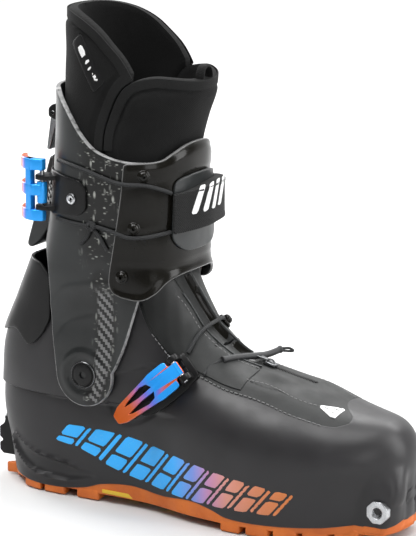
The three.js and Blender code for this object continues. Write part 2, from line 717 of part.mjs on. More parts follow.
// The front wrap closes the cuff over the shin.
function makeTongue() {
  const wrap = layer("cuff", -gap - tongueWall, -gap, 120);
  const outline = [
    [107, 137], [120, 135.5], [135, 149], [160, 160], [160, 236], [142, 236],
    [136, 230], [127, 221.5], [111, 221], [108, 198], [104, 172], [99, 146],
  ];
  add(cuff, "cuff_tongue", cut(common(wrap, prism(outline)), drums()), "gloss");
  const rivets = [[121, 213.4], [116, 181], [109, 150]];
  const names = ["upper", "middle", "lower"];
  rivets.forEach(([x, z], k) => {
    const place = seat("cuff", x, z, -1, [1, 0], gap + tongueWall + 0.2);
    const profile = [[0, 0], [3.4, 0], [3.4, 0.7], [2.4, 1.7], [0, 2.1]];
    const dome = new THREE.LatheGeometry(profile.map(([r, h]) => new THREE.Vector2(r, h)), 12);
    dome.rotateX(Math.PI / 2);
    add(cuff, "tongue_rivet_" + names[k], placed(solidOf(dome), place), "gloss");
  });
}

// The outer flap of the front wrap lies under the strap, on the front half.
function makeOverlay() {
  const under = gap + tongueWall + gap;
  const skin = layer("cuff", -under - overlayWall, -under, 120);
  const outline = [[134, 207], [134, 172], [139, 164], [150, 166], [165, 170], [165, 214], [140, 210]];
  add(cuff, "front_flap", common(skin, prism(outline)), "gaiter");
}

const strapTilt = 0.3; // the strap climbs towards the front
const strapLow = 178;

// The strap lies on the front flap, and on the tongue where it runs back on the medial side.
function makeStrap() {
  const line = (x) => strapLow + strapTilt * (x - 136);
  const run = (under, from, to, ...across) => common(
    layer("cuff", -under - strapThickness, -under, 120),
    prism(
      [[from, line(from)], [to, line(to)], [to, line(to) + strapWidth], [from, line(from) + strapWidth]],
      ...across,
    ),
  );
  const onTongue = gap + tongueWall + gap;
  const front = run(onTongue + overlayWall + gap, 132.5, 165);
  const medial = run(onTongue, 96, 133.5, 5, 90);
  add(cuff, "power_strap", join(front, medial), "fabric");
}

// A plate on the rear of the cuff covers the cut-out over the clog's Achilles plate.
function makeCuffFlap() {
  const skin = layer("cuff", -gap - 1.4, -gap, 100);
  const outline = [[30, 215], [50, 215], [52, 196], [47, 172], [30, 172]];
  const root = common(skin, prism(outline), box([0, -16, 0], [60, 16, far]));
  const side = [[44, 176], [43, 214], [39.5, 214], [29, 180], [22, 156], [26, 154], [33, 160]];
  const blade = cut(prism(side, -14, 14), formSolid("cuff", -gap, 62));
  add(cuff, "cuff_flap", cut(join(root, blade), drums()), "shell");
}

// ---------------------------------------------------------------- rear lock

const lockPinX = 40;
const lockPinZ = 241.5;
const lockPinDiameter = 2.8;
const lockHalfWidth = 5.5;
const lockEar = 3.4; // thickness of each bracket ear

// The lock plate hangs on a pin between two ears of a bracket on the cuff's rear.
function makeLock() {
  const inner = lockHalfWidth + gap + 0.2;
  const reach = inner + lockEar;
  const bore = cross(lockPinX, lockPinZ, lockPinDiameter + 2 * gap, -90, 90, 12);
  const side = [[39.4, 245], [36.2, 241], [32.5, 217], [35, 216.6], [40.5, 236], [42.8, 240], [42.8, 245]];
  add(cuff, "lock_plate", cut(prism(side, -lockHalfWidth, lockHalfWidth), bore), "gloss");
  add(cuff, "lock_pin", cross(lockPinX, lockPinZ, lockPinDiameter, -reach, reach, 12), "steel");
  const earSide = [[36.6, 239], [36.6, 244], [39, 246.5], [50, 250], [50, 235.5], [40, 237.5]];
  const ears = sides.map(([, at]) => prism(earSide, ...span(at, inner, reach)));
  const skin = common(layer("cuff", -gap - 1.6, -gap, 120), box([30, -reach, 235.5], [60, reach, 251]));
  const room = box([30, -inner, 230], [60, inner, 247.3]);
  const bracket = cut(join(cut(skin, room), ...ears), formSolid("cuff", -gap, 62), bore);
  add(cuff, "lock_bracket", bracket, "steel");
}

// ---------------------------------------------------------------- upper buckle

const cuffAxleX = 50;
const cuffAxleY = -39;
const cuffAxleLow = 180;
const cuffAxleHigh = 214;

function upright(x, y, diameter, low, high, count = 14) {
  const rod = new THREE.CylinderGeometry(diameter / 2, diameter / 2, high - low, count);
  rod.rotateX(Math.PI / 2);
  rod.translate(x, y, (low + high) / 2);
  return solidOf(rod);
}

// A plan outline (points of x, y) extruded from z = low to z = high.
function floorPlan(outline, low, high) {
  const shape = new THREE.Shape(outline.map(([x, y]) => new THREE.Vector2(x, y)));
  const geometry = new THREE.ExtrudeGeometry(shape, { depth: high - low, bevelEnabled: false });
  geometry.translate(0, 0, low);
  return solidOf(geometry);
}

function makeCuffBuckle() {
  const skin = layer("cuff", -gap - 1.6, -gap, 120);
  const padSide = [[56, 184], [80, 187], [84, 191], [84, 203], [80, 207], [56, 210]];
  const pad = common(skin, prism(padSide, -90, 0));
  const shell = formSolid("cuff", -gap - 0.2, 62);
  const ear = (z) => cut(
    floorPlan([[46, -30], [58, -30], [62, -36], [56, -42.5], [47, -42.5], [45, -38]], z, z + 3),
    shell,
  );
  const hinge = upright(cuffAxleX, cuffAxleY, 3 + 2 * gap, 150, 240);
  const plateSolid = cut(join(pad, ear(186), ear(205)), hinge);
  add(cuff, "cuff_buckle_plate", plateSolid, "gloss");
  add(cuff, "cuff_buckle_axle", upright(cuffAxleX, cuffAxleY, 3, cuffAxleLow, cuffAxleHigh), "steel");
  const hook = [
    [52, -42], [45, -43.5], [38, -41], [32, -35], [29, -27],
    [31.5, -25.5], [35, -32], [40, -36.5], [46, -37.2], [52, -36.5],
  ];
  const finger = (z) => floorPlan(hook, z, z + 7);
  const hub = floorPlan([[53, -42], [46.5, -42], [46.5, -36.4], [53, -36.4]], 190.5, 203.5);
  const rib = floorPlan([[44, -43.2], [39, -41.4], [39.5, -36], [44, -37]], 179, 218);
  const lever = cut(join(hub, rib, finger(179), finger(195), finger(211)), hinge);
  const trims = join(box([44.3, -46, 178], [60, -20, 190]), box([44.3, -46, 204.3], [60, -20, 219]));
  const cleared = cut(lever, trims, formSolid("cuff", -1.2, 62));
  add(cuff, "cuff_lever", cleared, "lever");
  const rivetPlace = seat("cuff", 75, 196, -1, [1, 0], gap + 1.8);
  const rivet = new THREE.CylinderGeometry(2.4, 3, 1, 12);
  rivet.rotateX(Math.PI / 2);
  rivet.translate(0, 0, 0.5);
  add(cuff, "buckle_plate_rivet", placed(solidOf(rivet), rivetPlace), "steel");
}

// ---------------------------------------------------------------- cords

// Points of x, z on the lateral side of a form become points of a cord that lies on it.
function lying(kind, points, out) {
  return points.map(([x, z, extra = 0]) => {
    const point = [x, sideY(kind, x, z, -1), z];
    const lift = out + extra + cordDiameter / 2;
    return new THREE.Vector3(...point).addScaledVector(normalAt(kind, point), lift).toArray();
  });
}

// Each cord runs from the buckle over the cuff and on over the tongue, clear of its rivets.
function makeCuffCords() {
  const onShell = gap + 0.15;
  const onTongue = tongueWall + gap;
  const upper = lying("cuff", [
    [62, 218], [74, 217], [87, 214.5], [97, 211.5], [106, 209.2, onTongue + 0.4], [113, 208.4, onTongue],
    [122, 207.8, onTongue], [129, 204.5, onTongue],
  ], onShell);
  add(cuff, "cuff_cord_upper", tube(upper, cordDiameter, 28), "fabric");
  const rear = lying("cuff", [[62, 181.6], [70, 181], [83, 180.3]], onShell);
  add(cuff, "cuff_cord_lower_rear", tube(rear, cordDiameter, 12), "fabric");
  const front = lying("cuff", [
    [94, 180], [99, 179, 1], [104, 178, onTongue + 0.4], [112, 175.6, onTongue], [118, 175.3, onTongue],
    [123, 175.8, onTongue], [128, 177, onTongue],
  ], onShell);
  add(cuff, "cuff_cord_lower_front", tube(front, cordDiameter, 18), "fabric");
  const knot = new THREE.SphereGeometry(3.3, 10, 8);
  knot.scale(1.2, 0.85, 0.9);
  knot.translate(...lying("cuff", [[88.5, 180.3]], gap + 1.6)[0]);
  const rearTail = lying("cuff", [[87.5, 178, 0.8], [84.5, 173], [80.5, 168]], onShell);
  const frontTail = lying("cuff", [[90, 178, 0.8], [95, 173], [99, 165]], onShell);
  const tails = [rearTail, frontTail].map((points) => tube(points, cordDiameter, 6));
  add(cuff, "cord_knot", join(solidOf(knot), ...tails), "fabric");
}

// Points of x, y over the instep become points of a cord that lies on the gaiter.
function over(points, out) {
  return points.map(([x, y, extra = 0]) => {
    const point = [x, y, topZ("clog", x, y)];
    return new THREE.Vector3(...point).addScaledVector(normalAt("clog", point), out + extra).toArray();
  });
}

function makeInstepCables() {
  const rest = gap + 0.4 + cordDiameter / 2;
  const upper = over([
    [ahead(0.32), -26.5, 0.8], [ahead(0.323), -21], [ahead(0.325), -12], [ahead(0.325), 4],
    [ahead(0.32), 11, 1],
  ], rest);
  add(clog, "instep_cable_upper", tube(upper, cordDiameter, 18), "fabric");
  const hookRing = new THREE.TorusGeometry(3.4, 1.6, 8, 14);
  const hookAt = [ahead(0.315), 19];
  const hookPoint = [...hookAt, topZ("clog", ...hookAt)];
  const normal = normalAt("clog", hookPoint);
  const turn = new THREE.Quaternion().setFromUnitVectors(new THREE.Vector3(0, 0, 1), normal);
  const hookPlace = new THREE.Matrix4().makeRotationFromQuaternion(turn);
  hookPlace.setPosition(new THREE.Vector3(...hookPoint).addScaledVector(normal, 2.2 + gap));
  add(clog, "cable_hook", placed(solidOf(hookRing), hookPlace), "gloss");
  const lower = over([
    [ahead(0.382), -30, 0.8], [ahead(0.384), -27.5], [ahead(0.385), -24.5, 0.5], [ahead(0.4), -20.5, 1],
  ], rest);
  add(clog, "instep_cable_lower", tube(lower, cordDiameter, 12), "fabric");
  const sleeveRest = gap + 0.6 + sleeveDiameter / 2;
  const sleeve = over([
    [ahead(0.407), -17.5, 1], [ahead(0.43), -8], [ahead(0.455), 4], [ahead(0.475), 13, 3],
    [ahead(0.495), 20, 9],
  ], sleeveRest);
  add(clog, "cable_sleeve", tube(sleeve, sleeveDiameter, 14), "gloss");
  const anchor = seat("clog", ahead(0.3), 94, 1, [1, 0], gap + 0.6);
  add(clog, "cable_anchor", placed(plate(roundedRectangle(20, 13, 4), 2.4), anchor), "gloss");
}

// ---------------------------------------------------------------- liner

function makeLinerCuff() {
  const sleeve = cut(formSolid("liner", 0, 100), formSolid("liner", linerCuffWall, 90));
  const collar = [
    [30, 90], [116, 90], [116, 272], [107, 283], [98, 292], [88, 301], [76, bootHeight - 5],
    [62, bootHeight - 1], [52, bootHeight], [30, bootHeight],
  ];
  const lap = [
    [94, 90], [95, 237], [101, 251], [106, tongueHeight - 12], [112, tongueHeight - 5],
    [120, tongueHeight - 1.5], [134, tongueHeight - 2], [150, tongueHeight - 5.5], [160, 250], [160, 90],
  ];
  const lapRoom = lap.map(([x, z], k) => [x - gap, k === 0 ? z - 10 : z + gap]);
  const drum = cross(pivotX, pivotZ, 2 * (frontDrum + 0.3), -90, 90, 48);
  const past = prism([[94 - gap, 80], ...lapRoom.slice(1, 6), [170, tongueHeight], [170, 80]]);
  add(cuff, "liner_cuff", cut(common(sleeve, prism(collar)), drum, drums(), past), "fabric");
  add(cuff, "liner_tongue", cut(common(sleeve, prism(lap)), drum, drums()), "fabric");
  const skin = layer("liner", -1.2 - gap, -gap, 200);
  const tag = [[69, 291], [77, 297], [97, 270], [88, 262]];
  add(cuff, "liner_label", common(skin, prism(tag, -90, 0)), "badge");
  const loop = solidOf(loopStrip()).rotate([90, 0, 90]).translate([143.5, 0, tongueHeight - 2.5]);
  add(cuff, "liner_pull_loop", loop, "fabric");
}

// A flat webbing strip bent into an arch.
function loopStrip() {
  const quarters = [0, 1, 2, 3, 4].map((k) => (Math.PI * k) / 4);
  const points = quarters.map((a) => new THREE.Vector3(5.5 * Math.cos(a), 5 * Math.sin(a), 0));
  const corners = [[-1, -3], [1, -3], [1, 3], [-1, 3]].map((p) => new THREE.Vector2(...p));
  const extrudePath = new THREE.CatmullRomCurve3(points);
  return new THREE.ExtrudeGeometry(new THREE.Shape(corners), { steps: 10, extrudePath });
}

makeClog();
makeToeFitting();
makeHeelFitting();
makeSoles();
makeBoards();
makePivots();
makeAchillesPlate();
makeGaiter();
makeZip();
makeBadge();
makeInstepBuckle();
makeCuffShell();
makeTongue();
makeOverlay();
makeStrap();
makeCuffFlap();
makeLock();
makeCuffBuckle();
makeCuffCords();
makeInstepCables();
makeLinerCuff();

// The part's origin is the middle of the boot's outline on the ground.
boot.updateMatrixWorld(true);
const bounds = new THREE.Box3().setFromObject(boot, true);
const centre = bounds.getCenter(new THREE.Vector3());
boot.position.set(-centre.x, -centre.y, -bounds.min.z);

export default boot;
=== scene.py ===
"""Looks of the touring boot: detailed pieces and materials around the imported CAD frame.

Shapes are worked out in the CAD source's own millimetres (heel at x = 0, lugs on z = 0) and moved into
the row frame, in metres, when a mesh is made.
"""

import json
import math

import bpy
import numpy as np
from mathutils import Matrix, Vector


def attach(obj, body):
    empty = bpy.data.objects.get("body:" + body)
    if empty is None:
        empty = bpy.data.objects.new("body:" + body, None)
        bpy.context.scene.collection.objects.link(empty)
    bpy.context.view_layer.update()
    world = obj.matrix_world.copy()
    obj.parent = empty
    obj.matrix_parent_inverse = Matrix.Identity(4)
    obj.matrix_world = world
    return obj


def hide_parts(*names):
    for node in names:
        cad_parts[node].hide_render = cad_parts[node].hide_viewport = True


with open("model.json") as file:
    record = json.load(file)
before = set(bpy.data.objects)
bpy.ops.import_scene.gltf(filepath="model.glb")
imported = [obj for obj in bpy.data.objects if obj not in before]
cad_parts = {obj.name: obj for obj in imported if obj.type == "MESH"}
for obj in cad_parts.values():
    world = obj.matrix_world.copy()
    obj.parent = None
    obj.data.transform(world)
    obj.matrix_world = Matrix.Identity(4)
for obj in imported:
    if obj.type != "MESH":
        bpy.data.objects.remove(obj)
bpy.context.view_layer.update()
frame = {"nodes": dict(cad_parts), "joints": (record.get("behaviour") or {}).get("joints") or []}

JOINTS = {joint["name"]: joint for joint in frame["joints"]}
PIVOT = (80.0, 84.0)  # ankle pivot x, z in the design's millimetres
ORIGIN = np.array(JOINTS["cuff_pivot"]["pos_m"]) - np.array([PIVOT[0], 0, PIVOT[1]]) / 1000
LATERAL, MEDIAL = -1, 1


def row(points):
    """Design millimetres to row metres."""
    return np.asarray(points, float) / 1000 + ORIGIN


def row_x(*places):
    """Places along the boot, from design millimetres to row metres."""
    return [float(row([x, 0, 0])[0]) for x in places]


# ---------------------------------------------------------------- the boot's forms

SOLE_LENGTH = 289
BALL, HEEL, TOE, ANKLE, CALF = 51, 33.5, 46, 37.2, 43.5
WAIST = 42


def curve_through(points):
    """A smooth curve through a few points, level beyond its ends."""
    xs, ys = np.array(points, float).T
    last = len(xs) - 1
    before, after = np.maximum(np.arange(last + 1) - 1, 0), np.minimum(np.arange(last + 1) + 1, last)
    slopes = (ys[after] - ys[before]) / (xs[after] - xs[before])

    def value(x):
        x = np.clip(np.asarray(x, float), xs[0], xs[-1])
        i = np.clip(np.searchsorted(xs, x, side="right") - 1, 0, last - 1)
        width = xs[i + 1] - xs[i]
        t = (x - xs[i]) / width
        s = 1 - t
        ends = ys[i] * (1 + 2 * t) * s * s + ys[i + 1] * t * t * (3 - 2 * t)
        return ends + slopes[i] * width * t * s * s - slopes[i + 1] * width * t * t * s

    return value


def ahead(fraction):
    """A place between the pivot and the toe."""
    return PIVOT[0] + fraction * (SOLE_LENGTH - PIVOT[0])


heel_line = curve_through(
    [[8, 8], [28, 5], [45, 1], [57, 0], [73, 1], [97, 4], [123, 15.5], [150, 27.5], [165, 34]]
)
toe_setback = curve_through([[8, 10], [25, 7], [32, 4], [45, 0], [200, 0]])
lateral_half = curve_through([[0, HEEL], [0.28, HEEL + 0.5], [0.42, HEEL + 3], [0.55, BALL - 5],
                              [0.68, BALL], [0.84, BALL - 2], [1, TOE]])
medial_half = curve_through(
    [[0, HEEL], [0.28, HEEL + 0.5], [0.42, HEEL + 1.5], [0.55, BALL - 10], [0.7, BALL - 2.5],
     [0.84, BALL - 2], [1, TOE]]
)
roof_line = curve_through(
    [[PIVOT[0], 106], [ahead(0.33), 102], [ahead(0.43), 96], [ahead(0.59), 88], [ahead(0.67), 84.5],
     [ahead(0.77), 77.5], [ahead(0.86), 73.5], [SOLE_LENGTH, 71]]
)
ankle_front = curve_through(
    [[50, 160], [97, 158], [116, 147], [130, 138.5], [141, 133], [150, 129.5], [165, 125]]
)
ankle_half = curve_through(
    [[45, HEEL - 2], [70, ANKLE - 0.8], [84, ANKLE], [110, ANKLE - 0.6], [165, ANKLE - 1.5]]
)
cuff_rear = curve_through([[60, 38], [140, 37], [180, 41.5], [235, 45.5], [320, 46]])
cuff_front = curve_through([[60, 136], [150, 136.5], [235, 137.5], [320, 138]])
cuff_half = curve_through([[60, 41.2], [100, 41.4], [150, CALF - 1.5], [200, CALF], [320, CALF + 1.5]])
squareness = curve_through([[60, 5], [115, 4.2], [160, 2.9], [210, 2.35], [320, 2.2]])
liner_rear = curve_through([[60, 41.5], [140, 40.5], [180, 45], [225, 49], [262, 52], [320, 52.5]])
liner_front = curve_through([[60, 133], [150, 133], [222, 133.5], [245, 139.5], [266, 146.5], [320, 148]])
liner_half = curve_through([[60, 37.8], [150, 38.5], [215, 39.9], [262, 39.5], [320, 36.5]])


def foot_field(x, y, z):
    """Below 0 inside the foot part of the clog, in about millimetres."""
    x, y, z = np.broadcast_arrays(np.asarray(x, float), y, z)
    rear, front = heel_line(z), SOLE_LENGTH - toe_setback(z)
    f = (x - rear) / (front - rear)
    inside = np.clip(f, 0, 1)
    half = np.where(y < 0, lateral_half(inside), medial_half(inside))
    tuck = 0.06 * (np.maximum(0, WAIST - z) / WAIST) ** 2
    back = np.maximum(0, (0.21 - inside) / 0.21) ** 3
    nose = np.maximum(0, (inside - 0.62) / 0.38) ** np.where(y < 0, 3.2, 2.6)
    width = np.maximum(1, half * (1 - tuck)) * np.sqrt(np.maximum(1e-6, 1 - back - nose))
    fall = np.maximum(0, (x - SOLE_LENGTH + 42) / 42)
    roof = WAIST + (roof_line(x) - WAIST) * np.sqrt(np.maximum(1e-4, 1 - fall**5.5))
    up = np.maximum(0, (z - WAIST) / (roof - WAIST))
    lean = 3 * np.maximum(0, f - 0.6)
    value = ((np.abs((y - lean) / width) ** 2.4 + up**2.4) ** (1 / 2.4) - 1) * width
    return np.where((f <= 0) | (f >= 1), np.maximum(np.maximum(rear - x, x - front), 0.01), value)


def ankle_field(x, y, z):
    """Below 0 inside the part of the clog round the ankle."""
    rear, front, half = heel_line(z), ankle_front(z), ankle_half(z)
    along = np.abs((x - (rear + front) / 2) / ((front - rear) / 2)) ** 2.7
    return ((along + np.abs(y / half) ** 2.7) ** (1 / 2.7) - 1) * half


def clog_field(x, y, z):
    """Foot and ankle joined with a soft fillet."""
    foot = foot_field(x, y, z)
    ankle = ankle_field(x, y, z) + 40 * np.maximum(0, (66 - z) / 20)
    fillet = 13 * np.minimum(1, np.maximum(1e-6, (x - PIVOT[0] - 20) / 35))
    overlap = np.maximum(0, fillet - np.abs(foot - ankle)) / fillet
    return np.minimum(foot, ankle) - overlap * overlap * fillet / 4


def tube_field(rear_of, front_of, half_of):
    """Below 0 inside a squarish upright tube: the cuff or the liner."""
    def field(x, y, z):
        rear, front, half, power = rear_of(z), front_of(z), half_of(z), squareness(z)
        along = np.abs((x - (rear + front) / 2) / ((front - rear) / 2)) ** power
        return ((along + np.abs(y / half) ** power) ** (1 / power) - 1) * half

    return field


def bisect(f, inside, outside, steps=34):
    """Where f changes sign between two arrays of places."""
    for _ in range(steps):
        middle = (inside + outside) / 2
        within = f(middle) < 0
        inside, outside = np.where(within, middle, inside), np.where(within, outside, middle)
    return (inside + outside) / 2


def unit(v):
    return v / np.maximum(np.linalg.norm(v, axis=-1, keepdims=True), 1e-9)


class Form:
    """A surface of the boot: an implicit field, with a grid of level rings over it."""

    def __init__(self, field, levels, columns):
        self.field, self.levels, self.columns = field, np.array(levels, float), columns
        self.made = None

    def normal(self, points, step=0.5):
        out = []
        for k in range(3):
            shift = np.zeros(3)
            shift[k] = step
            a, b = (points + shift).T, (points - shift).T
            out.append(self.field(*a) - self.field(*b))
        return unit(np.stack(out, -1))

    def grid(self):
        """Points (levels, columns + 1, 3) from the rear by the lateral side, and their (u, v) in mm."""
        if self.made is None:
            z = self.levels[:, None]
            rear = bisect(lambda x: self.field(x, 0, z), PIVOT[0], -40.0)
            front = bisect(lambda x: self.field(x, 0, z), PIVOT[0], SOLE_LENGTH + 40.0)
            fine = 480
            angle = np.linspace(-math.pi, math.pi, fine + 1)
            centre = (rear + front) / 2
            dx, dy = (front - centre) * np.cos(angle), BALL * np.sin(angle) + 0 * z
            reach = bisect(lambda s: self.field(centre + s * dx, s * dy, z), 0.0, 2.5)
            dense = np.stack([centre + reach * dx, reach * dy, z + 0 * dx], -1)
            points = np.zeros((len(z), self.columns + 1, 3))
            around = np.zeros((len(z), self.columns + 1))
            half = self.columns // 2
            for k, ring in enumerate(dense):
                run = run_along(ring)
                middle = run[fine // 2]
                lateral = np.linspace(0, middle, half + 1)
                medial = np.linspace(middle, run[-1], half + 1)
                at = np.concatenate([lateral, medial[1:]])
                points[k] = np.stack([np.interp(at, run, ring[:, c]) for c in range(3)], -1)
                around[k] = at - middle
            up = np.broadcast_to(z, around.shape)
            self.made = points, np.stack([around, up], -1)
        return self.made


def lifted(form, points, out):
    """Points moved out from a form, by one distance or by one for each point."""
    return points + form.normal(points) * np.broadcast_to(out, len(points))[:, None]


def on_side(form, xz, side, out=0.0):
    """Points (x, z) put on one side of a form, out from its surface."""
    x, z = np.array(xz, float).T
    y = side * bisect(lambda s: form.field(x, side * s, z), np.zeros_like(x), np.full_like(x, 90.0))
    return lifted(form, np.stack([x, y, z], -1), out)


def on_top(form, xy, out=0.0):
    """Points (x, y) put on the upper surface of a form."""
    x, y = np.array(xy, float).T
    z = bisect(lambda s: form.field(x, y, s), np.full_like(x, 45.0), np.full_like(x, 200.0))
    return lifted(form, np.stack([x, y, z], -1), out)


def spaced(*runs):
    """Levels from runs of (from, to, step)."""
    return np.unique(np.round(np.concatenate([np.arange(a, b + 1e-6, s) for a, b, s in runs]), 3))


CLOG = Form(clog_field, spaced((3.5, 62, 1.6), (62, 70, 1), (70, 92, 0.55), (92, 166, 1.6)), 300)
CUFF = Form(tube_field(cuff_rear, cuff_front, cuff_half), spaced((60, 270, 1.5)), 200)
LINER = Form(tube_field(liner_rear, liner_front, liner_half), spaced((150, 318, 1.8)), 150)


# ---------------------------------------------------------------- outlines seen from the side


def smooth_line(points, per=8):
    """A Catmull-Rom curve through points."""
    p = np.array(points, float)
    ends = np.concatenate([p[:1], p, p[-1:]])
    t = np.linspace(0, 1, per, endpoint=False)[:, None]
    parts = []
    for k in range(len(ends) - 3):
        a, b, c, d = ends[k : k + 4]
        parts.append(0.5 * (2 * b + (c - a) * t + (2 * a - 5 * b + 4 * c - d) * t**2
                            + (3 * b - a - 3 * c + d) * t**3))
    return np.concatenate(parts + [p[-1:]])


def rounded(points, radius=2.0, per=5):
    """A closed outline with its corners rounded off."""
    p = np.array(points, float)
    count = len(p)
    out = []
    for k in range(count):
        a, b, c = p[k - 1], p[k], p[(k + 1) % count]
        r1 = min(radius, np.linalg.norm(a - b) / 2.2)
        r2 = min(radius, np.linalg.norm(c - b) / 2.2)
        start, end = b + (a - b) / np.linalg.norm(a - b) * r1, b + (c - b) / np.linalg.norm(c - b) * r2
        for t in np.linspace(0, 1, per):
            out.append((1 - t) ** 2 * start + 2 * t * (1 - t) * b + t * t * end)
    return np.array(out)


def distance(outline, x, z):
    """Signed distance to a closed outline, below 0 inside."""
    a = np.asarray(outline, float)
    b = np.roll(a, -1, axis=0)
    q = np.stack([x, z], -1)
    best = np.full(len(q), 1e9)
    winding = np.zeros(len(q), int)
    for start, end in zip(a, b):
        d = end - start
        length = d @ d
        if length < 1e-12:
            continue
        w = q - start
        t = np.clip(w @ d / length, 0, 1)
        best = np.minimum(best, np.hypot(*(w - t[:, None] * d).T))
        turn = d[0] * w[:, 1] - d[1] * w[:, 0]
        winding += (start[1] <= q[:, 1]) & (end[1] > q[:, 1]) & (turn > 0)
        winding -= (start[1] > q[:, 1]) & (end[1] <= q[:, 1]) & (turn < 0)
    return np.where(winding != 0, -best, best)


def region(outline, side=0):
    """A region function of points from an outline in (x, z), on both sides or one."""

    def value(p):
        d = distance(outline, p[:, 0], p[:, 2])
        if side:
            d = np.maximum(d, -side * p[:, 1])
        return d

    return value


def smoothstep(x, low, high):
    t = np.clip((x - low) / (high - low), 0, 1)
    return t * t * (3 - 2 * t)


# ---------------------------------------------------------------- meshes


def mesh_object(name, points, faces, material, uv, values, sharp=42):
    """An object from design-millimetre points; points that coincide are merged, and keep their own uv."""
    points = row(points)
    flat = np.concatenate([np.asarray(f) for f in faces])
    counts = np.array([len(f) for f in faces])
    _, first, whole = np.unique(np.round(points, 7), axis=0, return_index=True, return_inverse=True)
    whole = whole.ravel()
    corner = whole[flat]
    keep = np.ones(len(faces), bool)
    starts = np.concatenate([[0], np.cumsum(counts)[:-1]])
    for size in np.unique(counts):
        rows = np.where(counts == size)[0]
        block = np.sort(corner[starts[rows][:, None] + np.arange(size)], axis=1)
        keep[rows] = (np.diff(block, axis=1) > 0).all(axis=1)
    mesh = bpy.data.meshes.new(name)
    held = np.repeat(keep, counts)
    corner, counts, source = corner[held], counts[keep], flat[held]
    mesh.vertices.add(len(first))
    mesh.vertices.foreach_set("co", points[first].ravel().astype(np.float32))
    mesh.loops.add(len(corner))
    mesh.loops.foreach_set("vertex_index", corner.astype(np.int32))
    mesh.polygons.add(len(counts))
    mesh.polygons.foreach_set("loop_start", np.concatenate([[0], np.cumsum(counts)[:-1]]).astype(np.int32))
    layer = mesh.uv_layers.new(name="mm")
    layer.data.foreach_set("uv", np.asarray(uv, float)[source].ravel().astype(np.float32))
    for key, value in values.items():
        attribute = mesh.attributes.new(key, "FLOAT", "POINT")
        attribute.data.foreach_set("value", np.asarray(value, float)[first].astype(np.float32))
    mesh.update(calc_edges=True)
    mesh.validate()
    mesh.polygons.foreach_set("use_smooth", np.ones(len(mesh.polygons), bool))
    mesh.set_sharp_from_angle(angle=math.radians(sharp))
    made = bpy.data.objects.new(name, mesh)
    bpy.context.scene.collection.objects.link(made)
    made.data.materials.append(material)
    return made


def clip(data, tris, phi):
    """Keeps the part of a triangle mesh where phi < 0; data holds all values of each vertex.

    Returns the data, the triangles and the cut edges in the order in which the kept faces run.
    """
    inside = phi < 0
    count = inside[tris].sum(axis=1)
    kept = [tris[count == 3]]
    made, cache, cuts = [], {}, []
    base = len(data)

    def crossing(a, b):
        key = (a, b) if a < b else (b, a)
        if key not in cache:
            low, high = key
            t = phi[low] / (phi[low] - phi[high])
            made.append(data[low] * (1 - t) + data[high] * t)
            cache[key] = base + len(made) - 1
        return cache[key]

    extra = []
    for tri in tris[(count == 1) | (count == 2)]:
        marks = inside[tri]
        if marks.sum() == 1:
            k = int(np.argmax(marks))
            a, b, c = int(tri[k]), int(tri[(k + 1) % 3]), int(tri[(k + 2) % 3])
            ab, ac = crossing(a, b), crossing(a, c)
            extra.append((a, ab, ac))
            cuts.append((ab, ac))
        else:
            k = int(np.argmin(marks))
            a, b, c = int(tri[k]), int(tri[(k + 1) % 3]), int(tri[(k + 2) % 3])
            ab, ac = crossing(a, b), crossing(a, c)
            extra += [(ab, b, c), (ab, c, ac)]
            cuts.append((ac, ab))
    if extra:
        kept.append(np.array(extra))
    data = np.concatenate([data, np.array(made)]) if made else data
    tris = np.concatenate(kept)
    used, inverse = np.unique(tris, return_inverse=True)
    where = np.full(len(data), -1)
    where[used] = np.arange(len(used))
    return data[used], inverse.reshape(tris.shape), where[np.array(cuts, int).reshape(-1, 2)]


